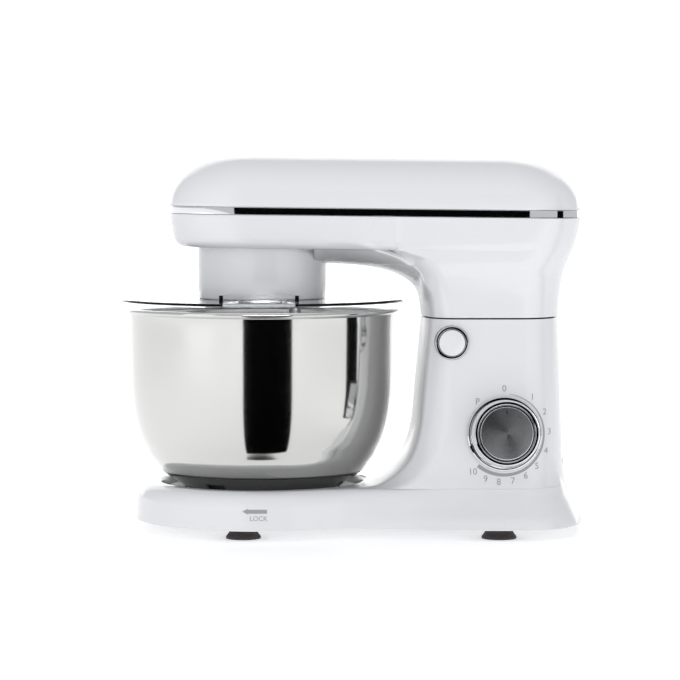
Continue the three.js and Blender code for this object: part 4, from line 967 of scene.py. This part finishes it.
def glowing(name, strength):
    """White paper that gives off some light of its own, so that it renders as plain white."""
    made, _, shader = material(name, (0.93, 0.93, 0.93), 0.9)
    shader.inputs["Emission Color"].default_value = (1, 1, 1, 1)
    shader.inputs["Emission Strength"].default_value = strength
    return made


def polygon(name, corners, shade):
    """A flat card from its corners, seen only in reflections."""
    mesh = bpy.data.meshes.new(name)
    mesh.from_pydata([tuple(np.array(c) * MM) for c in corners], [], [tuple(range(len(corners)))])
    mesh.materials.append(shade)
    made = bpy.data.objects.new(name, mesh)
    bpy.context.scene.collection.objects.link(made)
    for ray in ("camera", "diffuse", "shadow", "transmission"):
        setattr(made, "visible_" + ray, False)


flag, _, _ = material("studio_flag", (0.002, 0.002, 0.002), 0.9, Specular_IOR_Level=0.0)
plane("floor", 12000, 12000, (0, 2500, -0.05), (0, 0, 0), glowing("studio_floor", 0.35))
plane("backdrop", 12000, 8000, (0, 8000, 3900), (90, 0, 0), glowing("studio_backdrop", 1.1))

# Black flags in front of the machine and beside it: the dark stripes down the bowl are their reflections.
FLAG_LEFT, FLAG_RIGHT = math.tan(math.radians(-15)), math.tan(math.radians(27))
FLAG_NEAR_Y, FLAG_FAR_Y = -130.0, -3000.0
FLAG_HEIGHT = 2600
SIDE_FLAG_X = 2500


def front_flag(name, *edges):
    """A card between the stripe's two sides, through (distance, height) edges."""
    (y0, z0), (y1, z1) = edges
    corners = [(FLAG_LEFT, y0, z0), (FLAG_RIGHT, y0, z0), (FLAG_RIGHT, y1, z1), (FLAG_LEFT, y1, z1)]
    polygon(name, [(BOWL_X - slope * (y + 40), y, z) for slope, y, z in corners], flag)


front_flag("flag_floor", (FLAG_NEAR_Y, 1), (FLAG_FAR_Y, 1))
polygon("flag_side_floor", [(270, -125, 1), (270, -62, 1), (SIDE_FLAG_X, 60, 1),
                            (SIDE_FLAG_X, -520, 1)], flag)
polygon("flag_side", [(SIDE_FLAG_X, -520, 0), (SIDE_FLAG_X, 150, 0), (SIDE_FLAG_X, 150, 1500),
                      (SIDE_FLAG_X, -520, 1500)], flag)
front_flag("flag_wall", (FLAG_FAR_Y, 0), (FLAG_FAR_Y, FLAG_HEIGHT))

world = bpy.data.worlds.new("studio")
bpy.context.scene.world = world
world.use_nodes = True
sky = world.node_tree.nodes["Background"]
sky.inputs["Color"].default_value = (0.97, 0.985, 1.0, 1)
sky.inputs["Strength"].default_value = 0.62
light("top_softbox", (0, -100, 1900), (0, 0, 0), 1800, 1600, 4.5)
light("front_softbox", (150, -2700, 250), (0, 0, 200), 1800, 900, 28)
light("left_softbox", (-1500, -1100, 700), (-50, 0, 120), 900, 1400, 3)

CAMERA_AT = (-8.8, -2350.0, 290.0)
CAMERA_PITCH = 3.41
camera_data = bpy.data.cameras.new("camera")
camera_data.sensor_width = 36
camera_data.lens = 155.5
camera_data.clip_end = 50
camera = bpy.data.objects.new("camera", camera_data)
camera.location = Vector(CAMERA_AT) * MM
camera.rotation_euler = (math.radians(90 - CAMERA_PITCH), 0, 0)
bpy.context.scene.collection.objects.link(camera)
bpy.context.scene.camera = camera
bpy.context.scene.view_settings.view_transform = "Standard"
